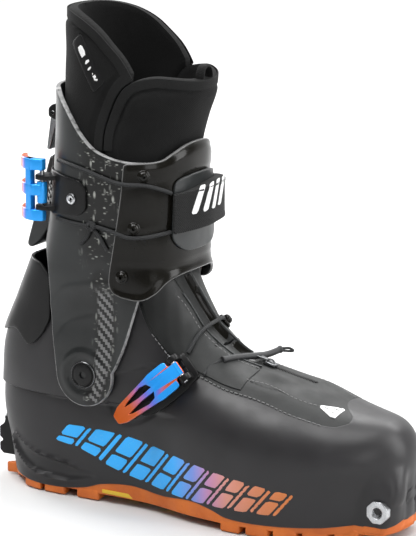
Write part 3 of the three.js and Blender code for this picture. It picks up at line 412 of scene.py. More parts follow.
def skin_mesh(form, inside, out=0.0, thick=2.0, edge=0.7, relief=None, back=True, low=None, high=None):
    """A piece of a form's surface where inside(points) < 0, with thickness and rounded edges."""
    points, uv = form.grid()
    picked = np.ones(len(form.levels), bool)
    if low is not None:
        picked &= form.levels >= low
    if high is not None:
        picked &= form.levels <= high
    points, uv = points[picked], uv[picked]
    rows, columns = points.shape[:2]
    index = np.arange(rows * columns).reshape(rows, columns)
    a, b = index[:-1, :-1].ravel(), index[:-1, 1:].ravel()
    c, d = index[1:, 1:].ravel(), index[1:, :-1].ravel()
    tris = np.concatenate([np.stack([a, b, c], 1), np.stack([a, c, d], 1)])
    flat = points.reshape(-1, 3)
    phi = inside(flat) + edge
    tris = tris[(phi[tris] < 0).any(axis=1)]
    data, tris, cuts = clip(np.concatenate([flat, uv.reshape(-1, 2)], 1), tris, phi)
    p, uv = data[:, :3], data[:, 3:]
    n = form.normal(p)
    depth = inside(p)
    lift = np.broadcast_to(out, depth.shape).astype(float)
    if relief is not None:
        lift = lift + relief(p, depth, uv)
    top = p + n * lift[:, None]
    blocks, uvs, depths, faces = [top], [uv], [depth], [tris]
    size = len(p)
    rim = np.unique(cuts)
    spot = np.full(size, -1)
    spot[rim] = np.arange(len(rim))
    pair = spot[cuts]
    step = 0.4
    slope = np.stack(
        [inside(p[rim] + np.eye(3)[k] * step) - inside(p[rim] - np.eye(3)[k] * step) for k in range(3)], -1
    )
    nr = n[rim]
    outward = unit(slope - (slope * nr).sum(-1, keepdims=True) * nr)
    walls = [top[rim] + outward * edge * math.sin(t) - nr * edge * (1 - math.cos(t))
             for t in np.radians([30, 60, 90])]
    walls.append(top[rim] + outward * edge - nr * np.maximum(thick - 0.25 * edge, edge))
    before = rim
    for k, wall in enumerate(walls):
        start = size + k * len(rim)
        blocks.append(wall)
        uvs.append(uv[rim])
        depths.append(np.zeros(len(rim)))
        now = start + np.arange(len(rim))
        i, j = pair.T
        faces.append(np.stack([before[j], before[i], now[i], now[j]], 1))
        before = now
    if back:
        start = size + len(walls) * len(rim)
        under = p + n * (np.broadcast_to(out, depth.shape) - thick)[:, None]
        blocks.append(under)
        uvs.append(uv)
        depths.append(depth)
        faces.append(tris[:, ::-1] + start)
        i, j = pair.T
        faces.append(np.stack([before[j], before[i], start + rim[i], start + rim[j]], 1))
    return np.concatenate(blocks), faces, np.concatenate(uvs), np.concatenate(depths)


def join_meshes(*parts):
    """Several (points, faces, uv, depth) as one."""
    points, faces, uvs, depths, base = [], [], [], [], 0
    for p, f, u, d in parts:
        points.append(p)
        uvs.append(u)
        depths.append(d)
        faces += [np.asarray(block) + base for block in f]
        base += len(p)
    return np.concatenate(points), faces, np.concatenate(uvs), np.concatenate(depths)


def piece(name, body, material, parts, replaces=(), values=None):
    """A named piece joined from meshes; values are more attributes, as functions of points and depth."""
    points, faces, uv, depth = join_meshes(*parts)
    flat_faces = [face for block in faces for face in block]
    extra = {key: f(points, depth) for key, f in (values or {}).items()}
    return settle(mesh_object(name, points, flat_faces, material, uv, extra), body, replaces)


def skin(name, body, material, form, inside, replaces=(), slot=None, values=None, **options):
    """A named piece made from one or more regions of a form."""
    regions = inside if isinstance(inside, list) else [inside]
    values = {"depth": lambda points, depth: -depth, **(values or {})}
    return piece(name, body, material, [skin_mesh(form, r, **options) for r in regions],
                 replaces, values)


def settle(made, body, replaces=()):
    """Puts a piece on its body, and hides the nodes it stands for."""
    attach(made, body)
    if replaces:
        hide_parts(*([replaces] if isinstance(replaces, str) else replaces))
    return made


UPRIGHT = [[1, 0, 0], [0, 0, -1], [0, 1, 0]]  # an outline stands up, its thickness towards the lateral side
CROSSWISE = [[1, 0, 0], [0, 0, 1], [0, -1, 0]]  # a turned piece lies with its axis across the boot


def moved(x=0.0, y=0.0, z=0.0, turn=None):
    """A frame at a place, turned there if a turn is given."""
    m = np.eye(4)
    m[:3, 3] = x, y, z
    if turn is not None:
        m[:3, :3] = turn
    return m


def run_along(points):
    """The length along a line at each of its points."""
    return np.concatenate([[0], np.cumsum(np.linalg.norm(np.diff(points, axis=0), axis=1))])


def grid_quads(index):
    """The four corners of each face of a grid of point numbers."""
    return np.stack([index[:-1, :-1], index[:-1, 1:], index[1:, 1:], index[1:, :-1]], -1).reshape(-1, 4)


def frames_along(points):
    """Tangents and two steady normals along a line of points."""
    tangent = unit(np.gradient(points, axis=0))
    normal = np.zeros_like(points)
    start = np.cross(tangent[0], [0, 0, 1.0])
    if np.linalg.norm(start) < 1e-3:
        start = np.cross(tangent[0], [0, 1.0, 0])
    normal[0] = unit(start)
    for k in range(1, len(points)):
        turned = normal[k - 1] - tangent[k] * (normal[k - 1] @ tangent[k])
        normal[k] = unit(turned)
    return tangent, normal, np.cross(tangent, normal)


def even(points, step):
    """The same line with points a step apart."""
    p = np.asarray(points, float)
    run = run_along(p)
    at = np.linspace(0, run[-1], max(3, int(run[-1] / step) + 1))
    return np.stack([np.interp(at, run, p[:, k]) for k in range(p.shape[1])], -1)


def tube_mesh(points, radius, sides=12, step=1.0, swell=None):
    """A round tube along a smooth line, closed at its ends."""
    line = even(smooth_line(points, 10), step)
    run = run_along(line)
    _, n, b = frames_along(line)
    r = radius * (np.ones(len(line)) if swell is None else swell(run, run[-1]))
    angle = np.linspace(0, 2 * math.pi, sides + 1)
    ring = np.cos(angle)[None, :, None] * n[:, None] + np.sin(angle)[None, :, None] * b[:, None]
    points = line[:, None] + ring * r[:, None, None]
    uv = np.stack(np.broadcast_arrays(angle[None] / (2 * math.pi), run[:, None]), -1).reshape(-1, 2)
    index = np.arange(points.shape[0] * (sides + 1)).reshape(points.shape[0], sides + 1)
    quads = grid_quads(index)
    centre = len(index.ravel())
    caps = [(centre, index[0, j + 1], index[0, j]) for j in range(sides)]
    caps += [(centre + 1, index[-1, j], index[-1, j + 1]) for j in range(sides)]
    points = np.concatenate([points.reshape(-1, 3), line[:1], line[-1:]])
    uv = np.concatenate([uv, uv[:1], uv[-1:]])
    return points, [quads, np.array(caps)], uv, np.zeros(len(points))


BEVEL_STEPS = 3


def outline_mesh(loops, thickness, bevel):
    """A flat slab from an outline and its holes, its edges rounded; z runs from 0 to thickness."""
    data = bpy.data.curves.new("outline", "CURVE")
    data.dimensions, data.fill_mode = "2D", "BOTH"
    data.extrude, data.bevel_depth = thickness / 2 - bevel, bevel
    data.offset, data.bevel_resolution = -bevel, BEVEL_STEPS
    for loop in loops:
        spline = data.splines.new("POLY")
        spline.points.add(len(loop) - 1)
        for point, (x, y) in zip(spline.points, loop):
            point.co = (x, y, 0, 1)
        spline.use_cyclic_u = True
    holder = bpy.data.objects.new("outline", data)
    bpy.context.scene.collection.objects.link(holder)
    mesh = holder.to_mesh()
    points = np.array([v.co for v in mesh.vertices], float) + [0, 0, thickness / 2]
    faces = [np.array([list(f.vertices)]) for f in mesh.polygons]
    holder.to_mesh_clear()
    bpy.data.objects.remove(holder)
    bpy.data.curves.remove(data)
    return points, faces, points[:, :2].copy(), np.zeros(len(points))


def placed(part, matrix=None, warp=None):
    """A part moved by a function of its points, then by a 4x4 matrix."""
    points, faces, uv, depth = part
    if warp:
        points = warp(points)
    if matrix is not None:
        m = np.array(matrix, float)
        points = points @ m[:3, :3].T + m[:3, 3]
    return points, faces, uv, depth


def lathe_mesh(profile, sides=28):
    """A turned shape about its own z from (radius, height) points."""
    r, h = np.array(profile, float).T
    angle = np.linspace(0, 2 * math.pi, sides + 1)
    points = np.stack(np.broadcast_arrays(
        r[:, None] * np.cos(angle), r[:, None] * np.sin(angle), h[:, None]), -1).reshape(-1, 3)
    index = np.arange(len(points)).reshape(len(r), sides + 1)
    quads = grid_quads(index)
    uv = np.stack(np.broadcast_arrays(angle[None] * 5, h[:, None]), -1).reshape(-1, 2)
    return points, [quads], uv, np.zeros(len(points))


def frame_at(form, point, direction, out):
    """A frame on a form: its z outward, its x as near to a direction as the surface lets it."""
    normal = form.normal(point[None])[0]
    along = np.array(direction, float)
    along = unit(along - normal * (along @ normal))
    turn = np.stack([along, np.cross(normal, along), normal], -1)
    return moved(*(point + normal * out), turn)


def seat(form, x, z, side, direction, out=0.0):
    """A frame on the side of a form: its z outward, its x along (dx, dz) seen from the side."""
    return frame_at(form, on_side(form, [[x, z]], side)[0], (direction[0], 0, direction[1]), out)


def stitches(form, line, side, out=0.25, pitch=3.2, length=2.1, width=0.34):
    """Short raised stitches along a line of (x, z) on one side of a form."""
    path = on_side(form, even(smooth_line(line, 8), 0.5), side, out)
    return stitch_run(path, form, pitch, length, width)


def stitch_run(path, form, pitch=3.2, length=2.1, width=0.34):
    run = run_along(path)
    parts = []
    for start in np.arange(pitch / 2, run[-1] - length, pitch):
        at = np.linspace(start, start + length, 4)
        points = np.stack([np.interp(at, run, path[:, k]) for k in range(3)], -1)
        points[[0, -1]] -= form.normal(points[[0, -1]]) * width * 0.8
        parts.append(tube_mesh(points, width, 6, 0.7))
    return parts


# ---------------------------------------------------------------- materials


class Shader:
    """A principled material built from procedural nodes."""

    def __init__(self, name, **sockets):
        self.material = bpy.data.materials.new(name)
        self.material.use_nodes = True
        self.nodes = self.material.node_tree.nodes
        self.links = self.material.node_tree.links
        self.bsdf = self.nodes["Principled BSDF"]
        self.put(self.bsdf, sockets)

    def put(self, node, values):
        for key, value in values.items():
            socket = node.inputs[key.replace("_", " ") if isinstance(key, str) else key]
            if isinstance(value, bpy.types.NodeSocket):
                self.links.new(value, socket)
            elif isinstance(value, (tuple, list)) and len(value) == 3 and socket.type == "RGBA":
                socket.default_value = (*value, 1)
            else:
                socket.default_value = value

    def node(self, kind, values=None, **settings):
        made = self.nodes.new("ShaderNode" + kind)
        for key, value in settings.items():
            setattr(made, key, value)
        self.put(made, values or {})
        return made

    def place(self, stretch=(1, 1, 1), turn=(0, 0, 0)):
        """Coordinates in the row frame, in metres."""
        source = self.node("TexCoord").outputs["Object"]
        return self.node("Mapping", {"Vector": source, "Scale": stretch, "Rotation": turn}).outputs[0]

    def mm(self, stretch=(1, 1, 1)):
        """The piece's own surface coordinates, in millimetres."""
        source = self.node("UVMap", uv_map="mm").outputs[0]
        return self.node("Mapping", {"Vector": source, "Scale": stretch}).outputs[0]

    def value(self, name):
        return self.node("Attribute", attribute_name=name).outputs["Fac"]

    def noise(self, vector, scale, detail=4, roughness=0.55):
        inputs = {"Vector": vector, "Scale": scale, "Detail": detail, "Roughness": roughness}
        made = self.node("TexNoise", inputs)
        return made.outputs["Fac"]

    def axis(self, vector, k):
        return self.node("SeparateXYZ", {"Vector": vector}).outputs[k]

    def math(self, operation, a, b=0.0, c=0.0):
        return self.node("Math", {0: a, 1: b, 2: c}, operation=operation).outputs[0]

    def between(self, x, low, high, new_low=0.0, new_high=1.0):
        made = self.node("MapRange", {"Value": x, "From_Min": low, "From_Max": high, "To_Min": new_low,
                                      "To_Max": new_high}, interpolation_type="SMOOTHSTEP")
        return made.outputs[0]

    def times(self, a, b):
        return self.math("MULTIPLY", a, b)

    def wave(self, x, pitch):
        """A sine along a coordinate, once in each pitch."""
        return self.math("SINE", self.times(x, 2 * math.pi / pitch))

    def clouds(self, vector, scale, detail, low=0.0, high=1.0):
        """A value from low to high in soft patches."""
        return self.between(self.noise(vector, scale, detail), 0.3, 0.7, low, high)

    def clouded(self, vector, scale, detail, a, b):
        """Two colours in soft patches."""
        return self.mix(self.clouds(vector, scale, detail), a, b)

    def rim(self, width=1.0, near=1.0):
        """Near a piece's edge, fading to 0 at a depth in millimetres."""
        return self.between(self.value("depth"), 0.0, width, near, 0.0)

    def mix(self, factor, a, b):
        made = self.node("Mix", data_type="RGBA")
        for socket, value in zip((made.inputs[0], made.inputs[6], made.inputs[7]), (factor, a, b)):
            if isinstance(value, bpy.types.NodeSocket):
                self.links.new(value, socket)
            else:
                socket.default_value = (*value, 1) if isinstance(value, tuple) else value
        return made.outputs[2]

    def ramp(self, factor, stops, interpolation="LINEAR"):
        made = self.node("ValToRGB", {"Fac": factor})
        made.color_ramp.interpolation = interpolation
        elements = made.color_ramp.elements
        while len(elements) < len(stops):
            elements.new(0.5)
        for element, (at, colour) in zip(elements, stops):
            element.position, element.color = at, (*colour, 1)
        return made.outputs[0]

    def bump(self, height, strength=0.3, distance=0.0003, normal=None):
        values = {"Height": height, "Strength": strength, "Distance": distance}
        if normal is not None:
            values["Normal"] = normal
        return self.node("Bump", values).outputs[0]

    def finish(self, **sockets):
        self.put(self.bsdf, sockets)
        return self.material


def grey(v, tint=(1, 1, 1)):
    """A grey of one tone, tinted by a factor for each channel."""
    return tuple(v * t for t in tint)


def shell_plastic():
    s = Shader("shell_plastic", Specular_IOR_Level=0.36)
    at = s.place()
    grain = s.noise(at, 2600, 2)
    colour = s.clouded(at, 16, 3, grey(0.014, (1.02, 0.98, 1.05)), grey(0.021, (1.02, 0.98, 1.05)))
    colour = s.mix(s.times(s.rim(1.1), 0.35), colour, grey(0.06))
    rough = s.between(s.noise(at, 45, 4), 0.3, 0.75, 0.36, 0.47)
    return s.finish(Base_Color=colour, Roughness=rough, Normal=s.bump(grain, 0.12, 0.00012))


def gaiter_cloth():
    s = Shader("gaiter_cloth", Sheen_Weight=0.03, Sheen_Roughness=0.5, Specular_IOR_Level=0.3)
    at = s.place()
    weave = s.times(s.wave(s.axis(s.mm(), 0), 0.9), s.wave(s.axis(s.mm(), 1), 0.9))
    colour = s.clouded(at, 22, 5, grey(0.006, (0.94, 1.03, 1.0)), grey(0.012, (0.94, 1.04, 1.02)))
    rough = s.clouds(at, 60, 3, 0.46, 0.6)
    folds = s.bump(s.noise(s.place((1, 1, 2.2)), 34, 3), 0.35, 0.0012)
    return s.finish(Base_Color=colour, Roughness=rough, Normal=s.bump(weave, 0.12, 0.00012, folds))


def cuff_carbon():
    """Satin resin over plain laminate, with a twill strip and a forged-carbon field."""
    s = Shader("cuff_carbon", Coat_Weight=0.16, Coat_Roughness=0.1, Specular_IOR_Level=0.3)
    at = s.place()
    uv = s.mm()
    tow = 1.7
    i = s.math("FLOOR", s.math("DIVIDE", s.axis(uv, 0), tow))
    j = s.math("FLOOR", s.math("DIVIDE", s.axis(uv, 1), tow))
    weft = s.math("LESS_THAN", s.math("FLOORED_MODULO", s.math("ADD", i, j), 4.0), 1.5)
    # Partly painted sheen: the twill weave is real, but its light tows and fibre streaks stand for light
    # caught by the fibres.
    fibre = s.noise(s.mm((1.2, 14, 1)), 1.0, 2)
    twill = s.mix(weft, grey(0.008), s.mix(fibre, grey(0.05), grey(0.24)))
    chips = []
    for scale, stretch, turn, least in ((560.0, (1, 1, 0.4), 0.5, 0.86), (900.0, (0.5, 1, 1), -0.7, 0.85)):
        at_chip = s.place(stretch, (0, turn, 0))
        chip = s.node("TexVoronoi", {"Vector": at_chip, "Scale": scale}, feature="F1")
        lit = s.between(s.axis(chip.outputs["Color"], 0), least, 0.99)
        near = s.between(chip.outputs["Distance"], 0.1, 0.75, 1.0, 0.0)
        chips.append(s.times(lit, near))
    shine = s.math("MAXIMUM", *chips)
    forged = s.mix(shine, grey(0.005, (1, 1.03, 0.97)), grey(0.34, (0.98, 1, 0.93)))
    plain = s.clouded(at, 18, 4, grey(0.009, (0.93, 1.03, 1.03)), grey(0.019, (0.93, 1.03, 1.05)))
    colour = s.mix(s.value("forged"), plain, forged)
    colour = s.mix(s.value("twill"), colour, twill)
    worn = s.between(s.noise(at, 300, 3), 0.2, 0.55)
    colour = s.mix(s.times(s.rim(), worn), colour, grey(0.26))
    rough = s.clouds(at, 70, 3, 0.3, 0.42)
    height = s.times(weft, s.value("twill"))
    return s.finish(Base_Color=colour, Roughness=rough, Normal=s.bump(height, 0.2, 0.0002))


def glossy_plastic(name="glossy_plastic", tone=0.004, tint=(1.15, 1.05, 0.8), rough=0.14, rim=0.0):
    s = Shader(name, Coat_Weight=0.1, Coat_Roughness=0.05, Specular_IOR_Level=0.16)
    at = s.place()
    colour = s.clouded(at, 30, 4, grey(tone, tint), grey(tone * 1.5, tint))
    scuff = s.between(s.noise(s.place((1, 1, 6)), 260, 5), 0.66, 0.78)
    colour = s.mix(s.times(scuff, 0.15), colour, grey(0.04))
    if rim:
        # Painted highlight: the colour lightens towards the piece's edges.
        colour = s.mix(s.rim(1.0, rim), colour, grey(0.3))
    roughness = s.between(s.noise(at, 90, 4), 0.3, 0.75, rough, rough + 0.14)
    return s.finish(Base_Color=colour, Roughness=roughness, Normal=s.bump(s.noise(at, 140, 2), 0.05, 0.0004))


def flap_laminate():
    s = Shader("flap_laminate", Coat_Weight=0.1, Coat_Roughness=0.2, Specular_IOR_Level=0.4)
    at = s.place()
    colour = s.clouded(at, 24, 4, grey(0.018, (0.93, 1.02, 1.05)), grey(0.028, (0.93, 1.02, 1.05)))
    rough = s.clouds(at, 110, 4, 0.34, 0.46)
    return s.finish(Base_Color=colour, Roughness=rough, Normal=s.bump(s.noise(at, 1800, 2), 0.08, 0.0001))


def webbing():
    """Woven strap: fine ribs across, with a chevron through the middle."""
    s = Shader("webbing", Sheen_Weight=0.04, Roughness=0.75, Specular_IOR_Level=0.25)
    u, v = s.axis(s.mm(), 0), s.axis(s.mm(), 1)
    slant = s.math("ADD", u, s.times(s.math("PINGPONG", v, 1.6), 0.9))
    ribs = s.wave(slant, 1.1)
    rows = s.wave(v, 0.8)
    height = s.math("ADD", s.times(ribs, 0.6), s.times(rows, 0.4))
    # Painted shade and highlight: the colour follows the weave's height, darker in its hollows and lighter on
    # its ribs.
    colour = s.mix(s.between(height, -1, 1), grey(0.003), grey(0.017, (0.97, 1, 1)))
    fuzz = s.noise(s.place(), 1500, 3)
    colour = s.mix(s.times(s.between(fuzz, 0.6, 0.8), 0.3), colour, grey(0.04))
    return s.finish(Base_Color=colour, Normal=s.bump(height, 0.55, 0.0004))


def liner_cloth(name="liner_cloth", tone=0.0045, scale=1.0):
    s = Shader(name, Sheen_Weight=0.02, Sheen_Roughness=0.5, Roughness=0.9, Specular_IOR_Level=0.15)
    at = s.place()
    knit = s.times(s.wave(s.axis(s.mm(), 0), 1.3 * scale), s.wave(s.axis(s.mm(), 1), scale))
    colour = s.clouded(at, 26, 5, grey(tone), grey(tone * 1.7, (0.98, 1, 1)))
    # Painted highlight: the knit's raised loops are lighter.
    colour = s.mix(s.times(s.between(knit, 0.2, 1.0), 0.35), colour, grey(tone * 3.2))
    height = s.math("ADD", s.times(knit, 0.5), s.noise(at, 900, 3))
    return s.finish(Base_Color=colour, Normal=s.bump(height, 0.4, 0.0004))


def braid():
    """Braided cord: crossing strands round the tube."""
    s = Shader("braid", Roughness=0.6, Specular_IOR_Level=0.35)
    u, v = s.axis(s.mm(), 0), s.axis(s.mm(), 1)
    around, along = s.times(u, 6.0), s.math("DIVIDE", v, 1.6)
    strands = s.times(*(s.wave(s.math(way, around, along), 1.0) for way in ("ADD", "SUBTRACT")))
    # Painted shade and highlight: the colour follows the strands' height, darker between the strands and
    # lighter on them.
    colour = s.mix(s.between(strands, -1, 1), grey(0.004), grey(0.034, (0.95, 1, 1.05)))
    return s.finish(Base_Color=colour, Normal=s.bump(strands, 0.6, 0.0003))


def sleeve_rubber():
    s = Shader("sleeve_rubber", Roughness=0.55)
    at = s.place()
    colour = s.mix(s.noise(at, 300, 4), grey(0.008, (0.97, 1, 1.1)), grey(0.02, (0.97, 1, 1.1)))
    return s.finish(Base_Color=colour, Normal=s.bump(s.noise(at, 700, 3), 0.2, 0.0003))


FADE = [(0.0, (0.015, 0.36, 0.93)), (0.42, (0.02, 0.33, 0.92)), (0.54, (0.16, 0.18, 0.72)),
        (0.66, (0.52, 0.16, 0.30)), (0.78, (0.62, 0.13, 0.04)), (1.0, (0.55, 0.10, 0.010))]


def anodised():
    """Anodised alloy that fades from blue at the pivot to orange at the tip."""
    s = Shader("anodised", Metallic=0.4, Coat_Weight=0.2, Coat_Roughness=0.12)
    at = s.place()
    colour = s.ramp(s.value("fade"), FADE)
    brushed = s.noise(s.place((1, 1, 8)), 500, 3)
    rough = s.clouds(at, 60, 2, 0.31, 0.35)
    return s.finish(Base_Color=colour, Roughness=rough, Normal=s.bump(brushed, 0.02, 0.00005))


def graphic_ink():
    """Printed graphic that fades along the boot's side."""
    s = Shader("graphic_ink", Coat_Weight=0.15, Coat_Roughness=0.3)
    x = s.axis(s.place(), 0)
    along = s.between(x, *row_x(95, 232))
    stops = [(0.0, (0.010, 0.40, 0.93)), (0.30, (0.02, 0.38, 0.90)), (0.47, (0.16, 0.26, 0.68)),
             (0.6, (0.48, 0.22, 0.42)), (0.74, (0.62, 0.26, 0.20)), (1.0, (0.60, 0.17, 0.03))]
    colour = s.ramp(along, stops)
    speck = s.noise(s.place(), 900, 3)
    colour = s.mix(s.times(s.between(speck, 0.55, 0.8), 0.12), colour, grey(0.6))
    return s.finish(Base_Color=colour, Roughness=0.42, Normal=s.bump(speck, 0.05, 0.0001))


def sole_rubber():
    s = Shader("sole_rubber", Roughness=0.6)
    at = s.place()
    cloud = s.noise(at, 35, 5)
    colour = s.mix(s.between(cloud, 0.3, 0.72), (0.50, 0.105, 0.010), (0.68, 0.17, 0.022))
    dust = s.between(s.noise(at, 420, 5), 0.62, 0.8)
    colour = s.mix(s.times(dust, 0.3), colour, (0.3, 0.07, 0.02))
    rough = s.clouds(at, 150, 4, 0.5, 0.68)
    return s.finish(Base_Color=colour, Roughness=rough, Normal=s.bump(s.noise(at, 1100, 4), 0.2, 0.0002))


def steel(name="steel", tone=0.56, tint=(0.98, 1, 1.03)):
    s = Shader(name, Metallic=1.0)
    at = s.place((1, 7, 1))
    marks = s.noise(at, 420, 4)
    colour = s.mix(marks, grey(tone * 0.8, tint), grey(tone * 1.15, tint))
    rough = s.clouds(at, 160, 4, 0.2, 0.38)
    return s.finish(Base_Color=colour, Roughness=rough, Normal=s.bump(marks, 0.08, 0.0001))


def badge_print():
    s = Shader("badge_print", Roughness=0.4)
    at = s.place()
    colour = s.mix(s.between(s.noise(at, 500, 3), 0.35, 0.7), grey(0.72), grey(0.82))
    return s.finish(Base_Color=colour, Normal=s.bump(s.noise(at, 1500, 2), 0.05, 0.0001))


def inlay_print():
    """Coloured blocks along the midfoot window."""
    s = Shader("inlay_print", Roughness=0.4)
    x = s.between(s.axis(s.place(), 0), *row_x(88, 172))
    stops = [(0.0, (0.75, 0.5, 0.02)), (0.3, (0.02, 0.2, 0.6)), (0.42, (0.75, 0.5, 0.02)),
             (0.62, (0.6, 0.1, 0.2)), (0.72, (0.8, 0.8, 0.75)), (0.8, (0.7, 0.16, 0.02))]
    blocks = s.ramp(x, stops, "CONSTANT")
    grain = s.noise(s.place(), 900, 3)
    colour = s.mix(s.times(grain, 0.2), blocks, grey(0.1))
    return s.finish(Base_Color=colour, Normal=s.bump(grain, 0.15, 0.0002))


def thread(name, tone):
    s = Shader(name, Roughness=0.7)
    colour = s.mix(s.noise(s.place(), 1600, 2), grey(tone * 0.7), grey(tone * 1.3))
    return s.finish(Base_Color=colour)


SHELL, GAITER, CARBON = shell_plastic(), gaiter_cloth(), cuff_carbon()
GLOSS, FLAP, WEB = glossy_plastic(), flap_laminate(), webbing()
# The tongue gets a painted highlight along its edges.
TONGUE = glossy_plastic("tongue_plastic", rim=0.55)
DARK = glossy_plastic("dark_plastic", 0.006, (1, 1, 1.02), 0.3)
LINER_CLOTH, BINDING = liner_cloth(), liner_cloth("binding_tape", 0.007, 0.7)
BRAID, SLEEVE, ALLOY, INK = braid(), sleeve_rubber(), anodised(), graphic_ink()
RUBBER, STEEL, DARK_STEEL = sole_rubber(), steel(), steel("dark_steel", 0.22)
BADGE, INLAY = badge_print(), inlay_print()
PALE_THREAD = thread("pale_thread", 0.14)

# ---------------------------------------------------------------- clog

seam = [
    [ahead(0.83), 70], [ahead(0.775), 71], [ahead(0.7), 75], [ahead(0.57), 82], [ahead(0.455), 86],
    [ahead(0.397), 89.5], [ahead(0.335), 94.5], [ahead(0.268), 102], [ahead(0.206), 116],
    [ahead(0.172), 131], [ahead(0.155), 146],
]
seam_curve = smooth_line(seam, 8)
rear_rim = [[PIVOT[0], 144], [40, 124], [-30, 112]]
upper_front = curve_through([[-34, 244], [-26, 250], [-21, 254], [-15, 253.5], [-9, 249], [-3, 244],
                             [6, 241.5], [30, 241]])


def upper_area(p, back=0.0):
    """Signed distance to all that lies above the clog's upper edge, drawn in by back."""
    line = seam_curve + [0, back]
    start = np.array([[ahead(0.93), 400], [ahead(0.93), 64 + back]])
    rear = np.array(rear_rim) + [0, 1.6 * back]
    outline = np.concatenate([start, line, rear, [[-30, 400]]])
    return np.maximum(distance(outline, p[:, 0], p[:, 2]), p[:, 0] - upper_front(p[:, 1]) + back)


bottom_edge = curve_through([[0, 9], [12, 7.5], [31, 4.8], [56, 4.6], [75, 7.4], [87, 11.4], [109, 14],
                             [133, 12.3], [158, 14.5], [174, 12], [185, 8.6], [217, 7.6], [257, 9.6],
                             [272, 10.6], [279, 13.5], [285, 18], [289, 21]])
sole_low = curve_through([[0, 6], [10, 4.8], [265, 4.8], [280, 7], [289, 12]])


def clog_area(p):
    return np.maximum(-upper_area(p), bottom_edge(p[:, 0]) - p[:, 2])


def line_distance(line, x, z):
    """The distance in the side view to an open line."""
    q = np.stack([x, z], -1)
    best = np.full(len(q), 1e9)
    for start, end in zip(line[:-1], line[1:]):
        d = end - start
        t = np.clip((q - start) @ d / (d @ d), 0, 1)
        best = np.minimum(best, np.hypot(*(q - start - t[:, None] * d).T))
    return best


heel_recess = rounded([[14, 29], [19, 22], [26, 16.5], [34, 12.5], [46, 10.5], [62, 10], [84, 14.5],
                       [83, 18.5], [62, 22.5], [41, 25.5], [28, 29.5], [19, 36]], 2)
lever_bed = rounded([[88, 74], [98, 86], [110, 90], [128, 95], [146, 100], [157, 92], [150, 82], [134, 66],
                     [118, 56], [106, 52], [97, 58]], 4)


def clog_relief(p, depth, uv):
    """Moulded shapes of the clog: heel facets, the step under the toe cap, and the buckle's bed."""
    x, y, z = p.T
    recess = distance(heel_recess, x, z)
    fade = 1 - 0.7 * smoothstep(x, 50, 84)
    lift = (0.9 * np.exp(-((recess / 0.9) ** 2)) - 2.0 * smoothstep(-recess, 0.0, 3.0)) * fade
    bed = distance(lever_bed, x, z)
    lift = lift - 0.8 * smoothstep(-bed, 0, 1.6) * (y < 0)
    toe_step = 36 + 10 * smoothstep(x, 190, 285)
    lift = lift + 0.7 * smoothstep(z, toe_step - 6, toe_step + 5) * smoothstep(x, 185, 240)
    return lift + toe_lift(p)


def toe_lift(p):
    """Squares off the toe below its cap, where the insert sits."""
    x, y, z = p.T
    side = smoothstep(np.abs(y), 5, 14)
    corner = np.clip(26.6 - np.abs(y), -2.0, 8.5) * 1.12 * smoothstep(x, 244, 268)
    front = 0.85 * toe_setback(z) * smoothstep(x, 262, 280)
    return (corner * side + front * (1 - side)) * smoothstep(z, 50, 30)


def build_clog():
    skin("clog_shell_skin", "clog", SHELL, CLOG, clog_area, "clog_shell", "shell",
         thick=3.2, edge=0.8, relief=clog_relief, high=150)


def inside_sole(p):
    return np.maximum(p[:, 2] - bottom_edge(p[:, 0]) - 2.5, sole_low(p[:, 0]) - p[:, 2])


LUGS = [[1, 12], [25.5, 15], [43, 16.5], [68, 17], [ahead(0.48), 14], [ahead(0.565), 15], [ahead(0.65), 15],
        [ahead(0.735), 15], [ahead(0.82), 13], [SOLE_LENGTH - 22, 14]]


def build_sole():
    """Rubber rand, base plate and chunky lugs, split along the middle by a groove."""
    rand = skin_mesh(CLOG, inside_sole, out=-0.5, thick=6, edge=0.6, relief=lambda p, d, uv: toe_lift(p),
                     high=24)
    ring = CLOG.grid()[0][1]
    lifted = ring + CLOG.normal(ring) * (toe_lift(ring) - 2.2)[:, None]
    parts = [rand]
    for first, last in ((0, 88), (172, SOLE_LENGTH + 9)):
        kept = lifted[(lifted[:, 0] >= first) & (lifted[:, 0] <= last)][::3, :2]
        order = np.argsort(np.arctan2(kept[:, 1], kept[:, 0] - (first + last) / 2))
        parts.append(slab([kept[order]], 4.4, 0.5, moved(z=4.6)))
    for side in (LATERAL, MEDIAL):
        edge = lifted[lifted[:, 1] * side > 0]
        edge = edge[np.argsort(edge[:, 0])]
        for start, length in LUGS:
            stop = start + length
            xs = np.linspace(stop, start, 6)
            ys = np.maximum(np.interp(xs, edge[:, 0], np.abs(edge[:, 1])) + 1.9, 9)
            bite = 2.5 if start > 100 else 3.5
            block = [[start + bite, side * 4.5], [stop - bite, side * 4.5], *zip(xs, side * ys)]
            low = 6.0 if start > 260 else 0.9 if start < 10 else 0.0
            parts.append(slab([rounded(block, 1.6, 4)], 7.2 - low * 0.3, 1.1, moved(z=low)))
    piece("sole_rubber", "clog", RUBBER, parts, ("outsole_heel", "outsole_forefoot"))
    for name in ("midfoot_inlay_lateral", "midfoot_inlay_medial"):
        polish(frame["nodes"][name], INLAY, 0.0005)


def polish(node, material, bevel=0.0004, segments=2, angle=40):
    """A CAD node that stays: rounded edges, smooth shading and its own material."""
    node.data.materials.clear()
    node.data.materials.append(material)
    node.data.polygons.foreach_set("use_smooth", np.ones(len(node.data.polygons), bool))
    modifier = node.modifiers.new("edges", "BEVEL")
    modifier.width, modifier.segments, modifier.limit_method = bevel, segments, "ANGLE"
    modifier.angle_limit, modifier.harden_normals = math.radians(angle), True


band_top = curve_through([[50, 46], [69, 48], [95, 47], [130, 42], [160, 38], [198, 33.5], [237, 28.5],
                          [265, 26]])
band_low = curve_through([[50, 37], [78, 32], [93, 25], [120, 19], [150, 15.5], [212, 15], [231, 14.5],
                          [265, 15]])
LEAN = 0.85  # the bars lean forward


